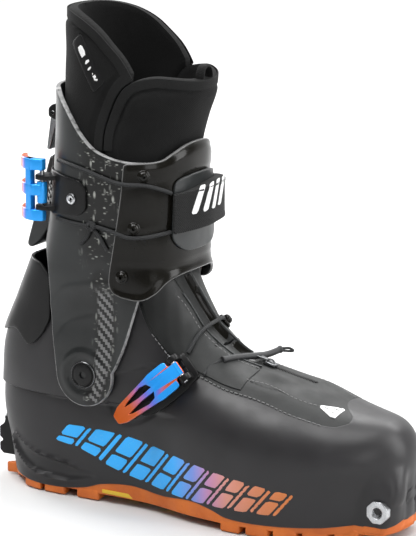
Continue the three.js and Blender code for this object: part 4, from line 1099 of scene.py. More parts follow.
def slanted(x, width, low=0.0, high=1.0):
    """A leaning bar of the side graphic, from low to high as parts of the band's height."""
    corners = []
    for across, up in ((0, low), (width, low), (width, high), (0, high)):
        foot = x + across
        bottom, top = band_low(foot), band_top(foot + 10)
        z = bottom + (top - bottom) * up
        corners.append([foot + LEAN * (z - bottom), z])
    return rounded(corners, 0.9, 4)


def build_graphic():
    """A row of leaning bars along the lateral side, some of them cut across, in place of any mark."""
    shapes = []
    x = 54.0
    while x < 219:
        width = 12.0 - 0.022 * (x - 54)
        cut = 0.34 + 0.3 * ((x - 54) / 165)
        shapes += [slanted(x, width, 0, cut - 0.045), slanted(x, width, cut + 0.045, 1)]
        shapes.append(slanted(x + width + 1.6, 2.4))
        x += width + 6.4
    parts = [skin_mesh(CLOG, region(s, LATERAL), out=0.14, thick=0.3, edge=0.12, back=False,
                       high=56) for s in shapes]
    piece("side_graphic", "clog", INK, parts)


# ---------------------------------------------------------------- gaiter

flap_y = curve_through([[116, -20], [129, -15], [138, -10], [150, -8.5], [168, -5.5], [186, -1.5]])


def gaiter_area(p):
    d = upper_area(p, -1.2)
    radius = np.hypot(p[:, 0] - PIVOT[0], p[:, 2] - PIVOT[1])
    ceiling = np.maximum(p[:, 2] - 147, PIVOT[0] + 24 - p[:, 0])
    return np.maximum(np.maximum(d, ceiling), np.where(p[:, 2] > 104, radius - 82, -9))


def gaiter_relief(p, depth, uv):
    """Folds over the instep, a deep channel beside the flap, and creases where the foot bends."""
    x, y, z = p.T
    edge = flap_y(x)
    along = smoothstep(x, 118, 126) * smoothstep(x, 184, 168)
    across = np.clip((y - edge - 0.5) / 14, 0, 1)
    channel = -4.0 * np.sin(math.pi * across) ** 0.6 * along
    ridge = 1.3 * np.exp(-(((y - edge - 16) / 2.2) ** 2)) * along
    fold = np.sin(0.5 * (x - 0.9 * np.abs(uv[:, 0])) + 1.3 * np.sin(0.09 * z + 0.05 * uv[:, 0]))
    area = np.exp(-(((x - 142) / 20) ** 2)) * smoothstep(z, 88, 102)
    dimple = -2.2 * np.exp(-(((x - 196) / 11) ** 2 + ((y + 14) / 8) ** 2))
    crest = 1.1 * np.exp(-(((x - 205) / 13) ** 2 + ((y + 3) / 7) ** 2))
    return 0.5 + channel + ridge + 0.1 * fold * area + dimple + crest + 0.5 * smoothstep(-depth, 0, 5)


def flap_area(p):
    return np.maximum.reduce([gaiter_area(p) + 1.5, p[:, 1] - flap_y(p[:, 0]), 108 - p[:, 0], p[:, 0] - 186])


def channel_area(p):
    """The channel between the flap's edge and the ridge beside it."""
    x, y, z = p.T
    beside = np.maximum(flap_y(x) + 0.8 - y, y - flap_y(x) - 14.8)
    return np.maximum.reduce([beside, gaiter_area(p) + 1.5, x - 176, 112 - x, 70 - z])


def build_gaiter():
    skin("gaiter_skin", "clog", GAITER, CLOG, gaiter_area, "gaiter", "gaiter",
         thick=1.4, edge=0.6, relief=gaiter_relief, low=60)
    inner_relief = lambda p, d, uv: gaiter_relief(p, d - 1.5, uv)
    skin("gaiter_flap", "clog", GAITER, CLOG, flap_area, (), "gaiter", out=0.9, thick=1.2, edge=0.5,
         relief=lambda p, d, uv: inner_relief(p, d, uv) * 0.9, low=60)
    # A darker glossy sheet laid in the channel beside the flap: painted shade for the channel's hollow.
    channel = skin_mesh(CLOG, channel_area, out=0.45, thick=0.8, edge=0.2, relief=inner_relief, back=False,
                        low=70)
    piece("gaiter_channel_shade", "clog", GLOSS, [channel])
    xs = np.arange(123.0, 186)

    def below_top(aside, out, count):
        """A line over the instep beside the flap's edge, cut off at the gaiter's upper edge."""
        path = on_top(CLOG, np.stack([xs[:count], flap_y(xs[:count]) + aside], -1), out)
        return path[path[:, 2] < 138]

    hem, rim = below_top(-0.6, 1.75, 63), below_top(16, 2.1, 50)
    piece("gaiter_piping", "clog", FLAP, [tube_mesh(hem[::3], 0.62, 10, 0.8),
                                          tube_mesh(rim[::3], 0.8, 10, 0.8)])
    line = [[x, z] for x, z in seam[1:9]]
    parts = stitch_run(below_top(-4.2, 1.75, 63), CLOG)
    for side in (LATERAL, MEDIAL):
        for lift in (-1.0, 5.0):
            parts += stitches(CLOG, [[x, z + lift] for x, z in line], side, 1.0)
    piece("gaiter_stitches", "clog", PALE_THREAD, parts)


# ---------------------------------------------------------------- cuff

ARM = 20.5
arm_angles = np.radians(np.linspace(8, -172, 22))
arm = [[PIVOT[0] + ARM * math.cos(a), PIVOT[1] + ARM * math.sin(a)] for a in arm_angles]
cuff_outline = np.concatenate([smooth_line([[30, 262], [52, 262], [60, 257.5], [70, 248], [80, 236.5],
                                            [90, 228], [102, 223.5], [112, 221.5], [124, 221]], 5),
                               smooth_line([[124.5, 216], [124, 180], [122.5, 150], [118.5, 134],
                                            [110, 107], [102.5, 90]], 5), arm,
                               smooth_line([[58, 97], [56, 110], [54, 130], [51, 152], [42, 168],
                                            [30, 180]], 5), ])
cuff_crease = smooth_line([[51, 122], [58, 129], [66, 137], [80, 141], [99, 144]], 8)
cuff_crease_low = smooth_line([[57, 104], [66, 116], [78, 122], [96, 126]], 8)


def cuff_area(p):
    return distance(cuff_outline, p[:, 0], p[:, 2])


def cuff_relief(p, depth, uv):
    """A boss round the pivot, two pressed creases on the arm and a waist in front of it."""
    x, _, z = p.T
    radius = np.hypot(x - PIVOT[0], z - PIVOT[1])
    boss = 0.9 * smoothstep(radius, 17.5, 15.0) - 0.9 * smoothstep(radius, 12.6, 11.0)
    first = line_distance(cuff_crease, x, z)
    second = line_distance(cuff_crease_low, x, z)
    crease = 0.5 * np.exp(-((first / 2.2) ** 2)) - 0.25 * np.exp(-((second / 1.6) ** 2))
    waist = -1.0 * smoothstep(z, 150, 128) * smoothstep(z, 100, 118) * smoothstep(x, 112, 96)
    return boss + crease + waist


twill_line = smooth_line([[94, 146], [96, 132], [96.5, 118], [95.5, 104], [93, 86], [88, 70]], 6)


def twill_mask(p, depth):
    """Where the cuff shows woven stripes."""
    x, _, z = p.T
    half = 3.2 + 2.0 * smoothstep(z, 72, 96)
    d = line_distance(twill_line, x, z)
    return smoothstep(d - half, 0.35, -0.35) * smoothstep(z, 143, 136)


def forged_mask(p, depth):
    """Where the cuff shows forged flecks."""
    x, _, z = p.T
    upper = smoothstep(x, 76, 88) * smoothstep(z, 150, 166)
    lower = smoothstep(line_distance(twill_line, x, z), 10, 4) * (z <= 175)
    return np.clip(upper + lower, 0, 1)


def build_cuff():
    skin("cuff_shell_skin", "cuff", CARBON, CUFF, cuff_area, "cuff_shell", "carbon",
         thick=3.0, edge=0.8, relief=cuff_relief, values={"twill": twill_mask, "forged": forged_mask})


tongue_outline = np.concatenate([
    smooth_line([[108, 137], [120, 135.5], [128, 140], [136, 150], [160, 161]], 5),
    [[160, 240]],
    smooth_line([[143, 236], [137, 231.5], [132, 225.5], [127, 222], [111, 221]], 5),
    smooth_line([[110, 219], [108, 198], [104, 172], [100, 147], [103, 139]], 5),
])


def tongue_relief(p, depth, uv):
    """Shallow steps down the front wrap."""
    x, _, z = p.T
    steps = [206 + 0.3 * (x - 110), 176 + 0.3 * (x - 110), 158]
    lift = sum(0.45 * (smoothstep(z, s - 0.8, s + 0.8) - 0.5) for s in steps)
    ripple = 0.25 * np.sin(z * 0.23 + x * 0.05) * smoothstep(-depth, 0, 6)
    return lift * smoothstep(-depth, 1, 4) + ripple


def build_tongue():
    skin("cuff_tongue_skin", "cuff", TONGUE, CUFF, region(tongue_outline), "cuff_tongue", "gloss",
         out=2.15, thick=1.8, edge=0.55, relief=tongue_relief, low=120)
    for name in ("upper", "middle", "lower"):
        build_rivet(name)


def build_rivet(name):
    x, z = {"upper": (121, 213.4), "middle": (116, 181), "lower": (109, 150)}[name]
    matrix = seat(CUFF, x, z, LATERAL, (1, 0), 2.35)
    dome = [(3.9, 0), (4.0, 0.35), (3.7, 0.75), (3.2, 0.9), (2.9, 1.1), (2.6, 1.7), (1.9, 2.15),
            (0.9, 2.35), (0, 2.4)]
    piece("rivet_" + name, "cuff", GLOSS, [placed(lathe_mesh(dome), matrix)], "tongue_rivet_" + name)


flap_outline = rounded([[132.5, 209], [132, 173], [136, 163], [150, 164], [166, 168], [166, 224], [146, 219],
                        [138, 213.5]], 4, 6)


def flap_relief(p, depth, uv):
    """The flap's free upper edge curls away from the tongue."""
    return 3.2 * smoothstep(p[:, 2], 207, 222) * smoothstep(p[:, 1], -30, -8)


def build_flap():
    skin("front_flap_skin", "cuff", FLAP, CUFF, region(flap_outline), "front_flap", "gaiter",
         out=4.1, thick=1.6, edge=0.5, relief=flap_relief, low=120)


STRAP_LOW, STRAP_TILT, STRAP_WIDTH = 178, 0.3, 25


def strap_climb(y):
    """How much higher the strap lies towards the medial side."""
    return 3.5 * smoothstep(y, -25, 15)


def strap_area(p):
    x, y, z = p.T
    line = STRAP_LOW + STRAP_TILT * (x - 136) + strap_climb(y)
    band = np.maximum(line - z, z - line - STRAP_WIDTH)
    back = np.where(y < 0, 131.5 - x, 96 - x)
    return np.maximum(band, back)


def strap_relief(p, depth, uv):
    """The strap bridges off the flap towards the medial side; its hems are a little thicker."""
    y = p[:, 1]
    bridge = 7.0 * smoothstep(y, -28, 0) * smoothstep(y, 34, 10)
    hem = 0.35 * smoothstep(-depth, 3.2, 2.6)
    return bridge + hem


def build_strap():
    skin("power_strap_skin", "cuff", WEB, CUFF, strap_area, "power_strap", "fabric",
         out=6.6, thick=2.2, edge=0.7, relief=strap_relief, low=140)
    bars = []
    for first in (-16, -9.5, -3, 3.5):
        bar = np.array([[first, 188], [first + 3.4, 188], [first + 8.6, 205], [first + 5.2, 205]])

        def area(p):
            _, y, z = p.T
            return np.maximum(distance(bar, y, z - strap_climb(y)), 120 - p[:, 0])

        bars.append(skin_mesh(CUFF, area, out=6.95, thick=0.4, edge=0.1, back=False, low=140,
                              relief=lambda p, d, uv: strap_relief(p, d - 9, uv)))
    piece("strap_marks", "cuff", BADGE, bars)


# ---------------------------------------------------------------- liner

collar_outline = np.concatenate([[[30, 157], [117, 157]],
                                 smooth_line([[117, 268], [113, 276], [107, 284.5], [99, 292], [90, 299.5],
                                              [80, 305], [70, 308.5], [60, 310.5], [52, 311], [44, 311]],
                                             5), [[30, 311]], ])
lap_outline = np.concatenate([
    [[93, 150]],
    smooth_line([[94.5, 215], [96, 237], [100.5, 251], [105, 261], [110, 267.5], [117, 271.5], [126, 273.5],
                 [134, 273.2], [144, 271], [158, 266]], 5),
    [[166, 262], [166, 150]],
])


def collar_area(p):
    inside = distance(collar_outline, p[:, 0], p[:, 2])
    return np.maximum(inside, 0.6 - distance(lap_outline, p[:, 0], p[:, 2]))


def pad_relief(p, depth, uv):
    """Soft foam: it swells between its edges and its sewn lines, and the cuff presses it flat."""
    z = p[:, 2]
    swell = 0.9 * smoothstep(-depth, 2, 12)
    channel = -0.9 * np.exp(-(((-depth - 7.5) / 1.1) ** 2))
    wave = 0.35 * np.sin(0.11 * uv[:, 0] + 0.07 * z) * np.sin(0.13 * z)
    pressed = 1 - smoothstep(z, 168, 192)
    return (swell + channel + wave) * (1 - pressed) - 1.6 * pressed


def build_liner():
    collar = skin("liner_collar", "cuff", LINER_CLOTH, LINER, collar_area, "liner_cuff", "fabric",
                  thick=7, edge=2.6, relief=pad_relief)
    lap = skin("liner_lap", "cuff", LINER_CLOTH, LINER, region(lap_outline), "liner_tongue", "fabric",
               thick=7, edge=2.6, relief=pad_relief)


def strip_along(area, low, high):
    """The part of an area whose depth from its edge is between low and high."""
    return lambda p: np.maximum(area(p) + low, -area(p) - high)


def build_binding():
    parts = [skin_mesh(LINER, strip_along(a, 0.2, 6.2), out=0.5, thick=1.0, edge=0.4, back=False, low=226)
             for a in (collar_area, region(lap_outline))]
    piece("liner_binding", "cuff", BINDING, parts)
    tag = rounded([[69, 291], [77, 297.5], [97, 270], [88.5, 262.5]], 1)
    label = skin_mesh(LINER, region(tag, LATERAL), out=1.3, thick=1.1, edge=0.3, low=240)
    piece("label_tag", "cuff", DARK, [label], "liner_label")
    marks = []
    blocks = (0.12, 0.34, 0.2, 0.8), (0.44, 0.5, 0.2, 0.8), (0.58, 0.64, 0.2, 0.66), (0.72, 0.9, 0.34, 0.66)
    corner, across, down = np.array([71.5, 290.5]), np.array([5.7, 4.5]), np.array([18.5, -25.5])
    for a, b, c, d in blocks:
        block = np.array([corner + across * v + down * u for u, v in ((a, c), (b, c), (b, d), (a, d))])
        marks.append(skin_mesh(LINER, region(block, LATERAL), out=1.45, thick=0.3, edge=0.08, back=False,
                               low=240))
    piece("label_marks", "cuff", BADGE, marks)


# ---------------------------------------------------------------- Achilles plate, pivots and rear flap

achilles_outline = rounded([[-3, 107], [-3, 99], [6, 98], [15, 103], [25, 105], [36, 96], [41, 98.5],
                            [48, 106], [53.5, 116], [53.5, 142], [45, 150], [30, 151], [-3, 140]], 3)


def build_achilles():
    plate = skin_mesh(CLOG, region(achilles_outline), out=2.2, thick=1.9, edge=0.6, low=80)
    reach = [[2, 97.5], [11, 98], [15, 103], [22, 141], [14, 130], [1.8, 106]]
    nose = outline_mesh([rounded(reach, 2.2), circle(7.6, 102, 2.0)], 9.6, 1.0)
    ring = placed(lathe_mesh([(2.0, -5.1), (3.3, -5.1), (3.5, -4.6), (3.3, -4.2), (2.0, -4.2), (2.0, 5.1),
                              (3.3, 5.1), (3.5, 4.6), (3.3, 4.2), (2.0, 4.2)]),
                  Matrix(((1, 0, 0, 7.6), (0, 0, 1, 0), (0, 1, 0, 102), (0, 0, 0, 1))))
    piece("achilles_plate_skin", "clog", DARK, [plate, placed(nose, moved(y=4.8, turn=UPRIGHT))],
          "achilles_plate")
    piece("achilles_eyelet", "clog", DARK_STEEL, [ring])


def circle(x, y, radius, count=24):
    angle = np.linspace(0, 2 * math.pi, count, endpoint=False)
    return np.stack([x + radius * np.cos(angle), y + radius * np.sin(angle)], -1)


def build_pivots():
    for name, side in (("lateral", LATERAL), ("medial", MEDIAL)):
        face = float(cuff_half(PIVOT[1]))
        m = moved(PIVOT[0], side * (face - 1), PIVOT[1], [[1, 0, 0], [0, 0, side], [0, -side, 0]])
        head = [(9, 0), (9, 1.1), (8.7, 1.6), (8.1, 1.85), (7.7, 1.7), (7.3, 1.2), (6.9, 1.2), (6.6, 1.75),
                (5.9, 1.95), (2.3, 2.0), (0, 2.0)]
        piece("pivot_head_" + name, "clog", DARK, [placed(lathe_mesh(head, 48), m)], "pivot_bolt_" + name)
        rim = [(8.35, 1.2), (8.6, 1.62), (8.3, 1.85), (8.0, 1.7)]
        piece("pivot_ring_" + name, "clog", DARK_STEEL, [placed(lathe_mesh(rim, 48), m)])
        polish(frame["nodes"]["pivot_nut_" + name], STEEL, 0.0003)


# ---------------------------------------------------------------- cords, cables and fittings


def tongue_lift(x):
    """How far out a cord lies at x: on the shell, then up over the tongue's edge."""
    return 0.15 + 1.65 * smoothstep(x, 101, 109)


def cord(name, line, replaces, radius=1.25):
    """A cord on the cuff through a list of (x, z)."""
    path = on_side(CUFF, line, LATERAL, [radius + tongue_lift(x) for x, _ in line])
    piece(name, "cuff", BRAID, [tube_mesh(path, radius, 14, 0.6)], replaces)


def build_cuff_cords():
    cord("cord_upper", [[62, 218], [74, 217], [87, 214.5], [97, 211.5], [106, 209.2], [113, 208.4],
                        [122, 207.8], [129, 204.5], [132, 202]], "cuff_cord_upper")
    cord("cord_lower_rear", [[62, 181.6], [70, 181], [83, 180.3], [88, 180.3]],
         "cuff_cord_lower_rear")
    cord("cord_lower_front", [[90, 180.3], [94, 180], [99, 179], [104, 178], [112, 175.6], [118, 175.3],
                              [123, 175.8], [129, 177.2], [132, 178]], "cuff_cord_lower_front")
    loops = []
    centre = on_side(CUFF, [[88.5, 180.3]], LATERAL, 1.8)[0]
    normal = CUFF.normal(centre[None])[0]
    for turn, reach in ((0.3, 2.6), (1.4, 2.3), (2.3, 2.5)):
        a = np.linspace(0, 2 * math.pi, 13)
        ring = np.stack([reach * np.cos(a) * math.cos(turn) - 1.5 * np.sin(a) * math.sin(turn),
                         0.9 * np.sin(2 * a + turn),
                         reach * np.cos(a) * math.sin(turn) + 1.5 * np.sin(a) * math.cos(turn)], -1)
        loops.append(tube_mesh(centre + normal * 0.3 + ring, 1.15, 12, 0.5))
    tails = ([[88, 179], [86.6, 175.5], [84.5, 172], [80.5, 168]],
             [[90, 179], [93, 175.6], [95.6, 171.8], [99, 166]])
    for tail in tails:
        loops.append(tube_mesh(on_side(CUFF, tail, LATERAL, [1.8, 1.3, 1.2, 1.2]), 1.1, 12, 0.5))
    piece("cord_knot_tied", "cuff", BRAID, loops, "cord_knot")


def over_instep(places, out):
    """Points over the clog, from their parts of the way from the pivot to the toe and their y."""
    return on_top(CLOG, [[ahead(part), y] for part, y in places], out)


def build_instep_cables():
    upper = over_instep([[0.32, -26.5], [0.323, -21], [0.325, -12], [0.325, 4], [0.32, 11],
                         [0.317, 15.6]], [2.6, 3.0, 3.4, 3.4, 3.0, 2.6])
    piece("cable_upper", "clog", BRAID, [tube_mesh(upper, 1.3, 12, 0.6)], "instep_cable_upper")
    spot = over_instep([[0.315, 19]], 2.0)[0]
    n = CLOG.normal(spot[None])[0]
    side = unit(np.cross(n, [1.0, 0, 0]))
    forward = np.cross(side, n)
    angle = np.linspace(0, 2 * math.pi, 25)
    ring = spot + 3.4 * (np.cos(angle)[:, None] * side + np.sin(angle)[:, None] * forward)
    knob = [(0, -2.4), (1.9, -2.2), (2.9, -1.2), (3.3, 0.4), (2.8, 2.0), (1.6, 2.9), (0, 3.1)]
    m = moved(*(spot + n * 1.6), np.stack([side, np.cross(n, side), n], -1))
    parts = [tube_mesh(ring, 1.5, 14, 0.5), placed(lathe_mesh(knob, 28), m)]
    piece("hook_ring", "clog", GLOSS, parts, "cable_hook")
    lower = over_instep([[0.382, -30], [0.384, -27.5], [0.385, -24.5], [0.4, -20.5], [0.405, -18]],
                        [2.2, 1.1, 0.9, 1.2, 2.0])
    piece("cable_lower", "clog", BRAID, [tube_mesh(lower, 1.0, 12, 0.6)], "instep_cable_lower")
    sleeve = over_instep([[0.407, -17.5], [0.43, -8], [0.455, 4], [0.475, 13], [0.495, 20]],
                         [2.2, 2.2, 3.0, 5.0, 10.5])

    def cuffs(run, total):
        return 1 + 0.16 * sum(np.exp(-((run - at) / 0.9) ** 2) for at in (1, total - 1))

    loop = over_instep([[0.495, 19], [0.515, 21], [0.52, 24.5], [0.505, 25], [0.49, 22]],
                       [10.5, 12.5, 12.0, 11.0, 9.6])
    piece("cable_sleeve_tube", "clog", SLEEVE, [tube_mesh(sleeve, 2.1, 14, 0.5, cuffs)], "cable_sleeve")
    piece("sleeve_loop", "clog", BRAID, [tube_mesh(loop, 0.8, 10, 0.5)])


def slab(loops, thickness, bevel, matrix, warp=None):
    """An outline with a thickness and bevelled edges, set in place."""
    return placed(outline_mesh(loops, thickness, bevel), matrix, warp)


def build_instep_buckle():
    m = seat(CLOG, ahead(0.32) - 2, 92, LATERAL, (-0.68, -0.735), 0.85)

    def raised(height):
        return m @ moved(z=height)

    base = rounded([[-9, -9.6], [4, -11.8], [20, -11.6], [30, -10], [36, -7], [36, 7], [30, 10], [20, 11.6],
                    [4, 11.8], [-9, 9.6]], 3)

    def bend(p):
        x, y, z = p.T
        return np.stack([x, y, z - 0.017 * y**2 - 0.0012 * np.maximum(x, 0)**2], -1)

    parts = [slab([base], 2.2, 0.5, raised(0.2), bend)]
    for sign in (-1, 1):
        ear = outline_mesh([rounded([[-6, 1], [2.6, 1], [2.6, 6.5], [0.6, 9.0], [-3.4, 9.0], [-5.4, 7]],
                                    1.4)], 4.2, 0.5)
        parts.append(placed(ear, m @ moved(y=sign * 7.3 + 2.1, turn=UPRIGHT)))
        for rib in (-4, 1, 6):
            strip = rounded([[rib - 1, sign * 3 - 2.4], [rib + 1, sign * 3 - 2.4], [rib + 1, sign * 3 + 2.4],
                             [rib - 1, sign * 3 + 2.4]], 0.5)
            parts.append(slab([strip], 0.9, 0.25, raised(1.8)))
    piece("instep_buckle_base", "clog", DARK, parts, "buckle_base")
    across = moved(-1, 0, 7, CROSSWISE)
    pin = [(0, -9.9), (1.3, -9.9), (1.6, -9.6), (1.6, 9.6), (1.3, 9.9), (0, 9.9)]
    piece("instep_buckle_pin", "clog", STEEL, [placed(lathe_mesh(pin, 20), m @ across)], "buckle_pin")

    half = [[3, 4.6], [3.6, 8.8], [6, 9.6], [17, 9.6], [20, 8.9], [44, 6.0], [49.5, 3.2]]
    body = [[-3.4, -4.6], *[[x, -y] for x, y in half], *half[::-1], [-3.4, 4.6]]
    window = [[19, -1.6], [21, -5.4], [26, -6.3], [38, -3.9], [40.5, -2.6], [30, -1.3]]
    other = [[x, -y] for x, y in window[::-1]]
    outline = rounded(body, 1.2)

    def arch(p):
        """The lever arches down at its sides and its tip, and lies under the pin's ears."""
        x, y, z = p.T
        drop = 2.2 - 0.044 * (x + 3.4) - 0.003 * y**2 - 0.0012 * np.maximum(x - 12, 0) ** 2
        return np.stack([x, y, z + drop], -1)

    lever = slab([outline, rounded(window, 0.5), rounded(other, 0.5)], 1.9, 0.5, raised(4.7), arch)
    hub = [(0, -4.5), (1.5, -4.5), (1.8, -4.2), (1.8, 4.2), (1.5, 4.5), (0, 4.5)]
    hub = placed(lathe_mesh(hub, 20), m @ across)
    origin = m[:3, 3]

    def fade(p, depth):
        """Blue to orange along the lever; the end face and the notches beside the hub are orange."""
        x, y = (p - origin) @ m[:3, 0], (p - origin) @ m[:3, 1]
        return np.where((x < -3.0) | ((x < 3.5) & (np.abs(y) > 4.4)), 1.0, np.clip((x + 4) / 52, 0, 1))

    piece("instep_lever_arm", "lower_lever", ALLOY, [lever, hub], "instep_lever", {"fade": fade})
    arrow = rounded([[23, -7], [40, -7], [47, 0], [40, 7], [23, 7], [29, 0]], 1)
    piece("instep_lever_pad", "lower_lever", DARK, [slab([arrow], 1.3, 0.3, raised(2.9))], "buckle_inlay")


def build_cuff_buckle():
    pad = rounded([[55, 183.5], [80, 186], [85, 190.5], [85, 203.5], [80, 208], [55, 210.5]], 2)
    parts = [skin_mesh(CUFF, region(pad, LATERAL), out=1.95, thick=1.6, edge=0.5, low=170, high=220)]
    ear = rounded([[46, -30], [58, -30], [62, -36], [56, -42.5], [47, -42.5], [45, -38]], 2)
    for z in (186, 205):
        parts.append(slab([ear], 3, 0.5, moved(z=z)))
    for k in range(5):
        z = 188 + k * 4.2
        tooth = rounded([[41, z], [55, z], [55, z + 2.4], [41, z + 2.4]], 0.6)
        parts.append(skin_mesh(CUFF, region(tooth, LATERAL), out=2.3, thick=1.8, edge=0.4, low=170, high=220))
    ladder = rounded([[40, 186], [56, 186], [56, 210], [40, 210]], 1.5)
    parts.append(skin_mesh(CUFF, region(ladder, LATERAL), out=1.3, thick=1.0, edge=0.4, low=170, high=220))
    piece("buckle_plate", "cuff", DARK, parts, "cuff_buckle_plate")
    axle = moved(50, -39, 197)
    pin = [(0, -17.2), (1.2, -17.2), (1.5, -16.8), (1.5, 16.8), (1.2, 17.2), (0, 17.2)]
    piece("buckle_axle", "cuff", STEEL, [placed(lathe_mesh(pin, 20), axle)], "cuff_buckle_axle")
    head = [(3.4, 0), (3.5, 0.5), (3.2, 1.1), (2.2, 1.35), (2.0, 1.0), (0.9, 0.8), (0, 0.8)]
    m = seat(CUFF, 75, 196, LATERAL, (1, 0), 2.05)
    piece("plate_rivet", "cuff", STEEL, [placed(lathe_mesh(head), m)], "buckle_plate_rivet")

    hook = rounded([[52, -42], [45, -43.5], [38, -41], [32, -35], [29, -27], [31.5, -25.5], [35, -32],
                    [40, -36.5], [46, -37.2], [52, -36.5]], 1.6)
    rib = rounded([[39, -36.6], [39, -41.2], [44, -43.2], [44, -37.4]], 0.6)

    def layer(outline, z, height, bevel=0.6):
        return slab([outline], height, bevel, moved(z=z))

    fingers = [layer(hook, z, 7) for z in (179, 195, 211)]
    hub = [(1.7, -6.7), (3.0, -6.7), (3.2, -6.4), (3.2, 6.4), (3.0, 6.7), (1.7, 6.7)]
    fingers += [layer(rib, 179, 39, 0.4), placed(lathe_mesh(hub, 24), axle)]

    def fade(p, depth):
        inner = smoothstep(p[:, 1], -38.5, -36.8) * smoothstep(p[:, 0], 34, 37)
        run = np.clip((46 - p[:, 0]) / 17, 0, 1)
        return np.clip(0.1 + 0.9 * run, 0, 1) * (1 - inner) + inner

    piece("upper_lever_arm", "upper_lever", ALLOY, fingers, "cuff_lever", {"fade": fade})


def build_rear_lock():
    def slice_of(outline, y, width, bevel=0.5, round_by=1.2):
        return slab([rounded(outline, round_by)], width, bevel, moved(y=y + width, turn=UPRIGHT))

    plate = [[39.4, 245], [36.2, 241], [32.5, 217], [35, 216.6], [40.5, 236], [42.8, 240], [42.8, 245]]
    piece("lock_plate_forged", "rear_lock", DARK_STEEL, [slice_of(plate, -5.5, 11, 0.7)], "lock_plate")
    bracket = [[36.6, 239], [36.6, 244], [39, 246.5], [50, 250], [50, 235.5], [40, 237.5]]
    piece("lock_bracket_ears", "cuff", DARK, [slice_of(bracket, 6.05, 3.4), slice_of(bracket, -9.45, 3.4)],
          "lock_bracket")
    across = moved(40, 0, 241.5, CROSSWISE)
    pin = [(0, -9.9), (1.1, -9.9), (1.4, -9.5), (1.4, 9.5), (1.1, 9.9), (0, 9.9)]
    piece("lock_pin_turned", "cuff", STEEL, [placed(lathe_mesh(pin, 18), across)], "lock_pin")
    root = rounded([[30, 216], [50, 216], [52, 196], [47.5, 171], [30, 171]], 2)
    narrow = lambda p: np.maximum(distance(root, p[:, 0], p[:, 2]), np.abs(p[:, 1]) - 16)
    blade = rounded([[43.8, 176], [43.2, 214], [40, 215], [29.2, 180], [22, 156.6], [23.5, 154.4],
                     [26.6, 154.6], [33, 160]], 2.4)
    parts = [skin_mesh(CUFF, narrow, out=2.6, thick=2.3, edge=0.6, low=165, high=222),
             slice_of(blade, -14, 28, 1.6)]
    piece("rear_flap", "cuff", FLAP, parts, "cuff_flap")


# ---------------------------------------------------------------- small parts of the gaiter and the toe


def build_zip():
    start, stop = ahead(0.485), ahead(0.665)
    tape = skin_mesh(CLOG, lambda p: np.maximum.reduce([start - p[:, 0], p[:, 0] - stop,
                                                         np.abs(p[:, 1] - 6) - 3.6, 60 - p[:, 2]]),
                     out=1.1, thick=1.0, edge=0.3, low=66)
    piece("zip_tape", "clog", BINDING, [tape], "gaiter_zipper")
    teeth = []
    places = [[x, 6 + 0.55 * (-1) ** k] for k, x in enumerate(np.arange(start + 1, stop - 0.5, 1.05))]
    line = on_top(CLOG, places, 1.3)
    for p in line:
        across = np.array([[0, -0.95, 0], [0, 0, 0.15], [0, 0.95, 0]])
        teeth.append(tube_mesh(p + across, 0.42, 8, 0.5))
    piece("zip_teeth", "clog", DARK, teeth)
    m = top_seat(start + 5.5, 6, 1.5)
    body = rounded([[-4, -2.6], [1.5, -3.4], [4.2, -2.2], [4.2, 2.2], [1.5, 3.4], [-4, 2.6]], 1.2)
    slot = rounded([[-2.6, -0.6], [0.4, -0.6], [0.4, 0.6], [-2.6, 0.6]], 0.3)
    bridge = [[-3, 0, 2.3], [-1.5, 0, 3.4], [0.8, 0, 3.4], [2.2, 0, 2.3]]
    pull = rounded([[-2.2, -1.5], [-10, -2.0], [-11.5, 0], [-10, 2.0], [-2.2, 1.5]], 0.8)
    bits = [slab([body, slot], 1.9, 0.4, m), placed(tube_mesh(bridge, 0.6, 8, 0.5), m)]
    bits.append(slab([pull, circle(-8.6, 0, 1.0)], 0.8, 0.25, m @ moved(z=2.4)))
    piece("zip_slider", "slider", DARK_STEEL, bits, "zipper_slider")


def top_seat(x, y, out=0.0):
    """A frame on the upper surface of the clog: its z outward, its x towards the toe."""
    return frame_at(CLOG, on_top(CLOG, [[x, y]])[0], (1, 0, 0), out)


def build_heel_fitting():
    """The heel fitting: two slots for the binding's pins, open below, and a step between its fins."""
    fin = [[8, 13], [-1.5, 13], [-4, 15.5], [-4, 20.5], [-1.8, 21.4], [-1.8, 23], [-4, 24], [-4, 31],
           [-0.5, 33.5], [2.5, 44], [8, 44]]
    short = [[8, 24], [-4, 24], [-4, 31], [-0.5, 33.5], [2.5, 44], [8, 44]]
    parts = []
    fins = (-9, 3.5, fin), (-5.5, 3, short), (-2.5, 5, fin), (2.5, 3, short), (5.5, 3.5, fin)
    for y, width, outline in fins:
        parts.append(slab([rounded(outline, 0.8, 3)], width, 0.35, moved(y=y + width, turn=UPRIGHT)))
    piece("heel_insert", "clog", DARK, parts, "heel_fitting")


def build_badge():
    corners = rounded([[231.5, -18.5], [247, -8], [245.5, -23.5]], 2)
    shape = lambda p: np.maximum(plan_distance(corners, p), 55 - p[:, 2])
    face = skin_mesh(CLOG, shape, out=1.5, thick=1.4, edge=0.4, low=56)
    piece("toe_badge_face", "clog", BADGE, [face], "toe_badge")
    marks = []
    for a, b in (([235.5, -17], [244, -19.2]), ([238, -13.6], [245, -14.6]), ([241, -11], [245.6, -11])):
        a, b = np.array(a), np.array(b)
        across = unit(np.array([a[1] - b[1], b[0] - a[0]])) * 0.55
        bar = np.array([a - across, b - across, b + across, a + across])
        marks.append(skin_mesh(CLOG, lambda p, bar=bar: np.maximum(plan_distance(bar, p), 55 - p[:, 2]),
                               out=1.62, thick=0.3, edge=0.08, back=False, low=56))
    piece("toe_badge_marks", "clog", DARK, marks)


def plan_distance(outline, p):
    """Signed distance to an outline seen from above."""
    return distance(outline, p[:, 0], p[:, 1])


SOCKET = (277, 20.5)  # x, z of the sockets in the toe


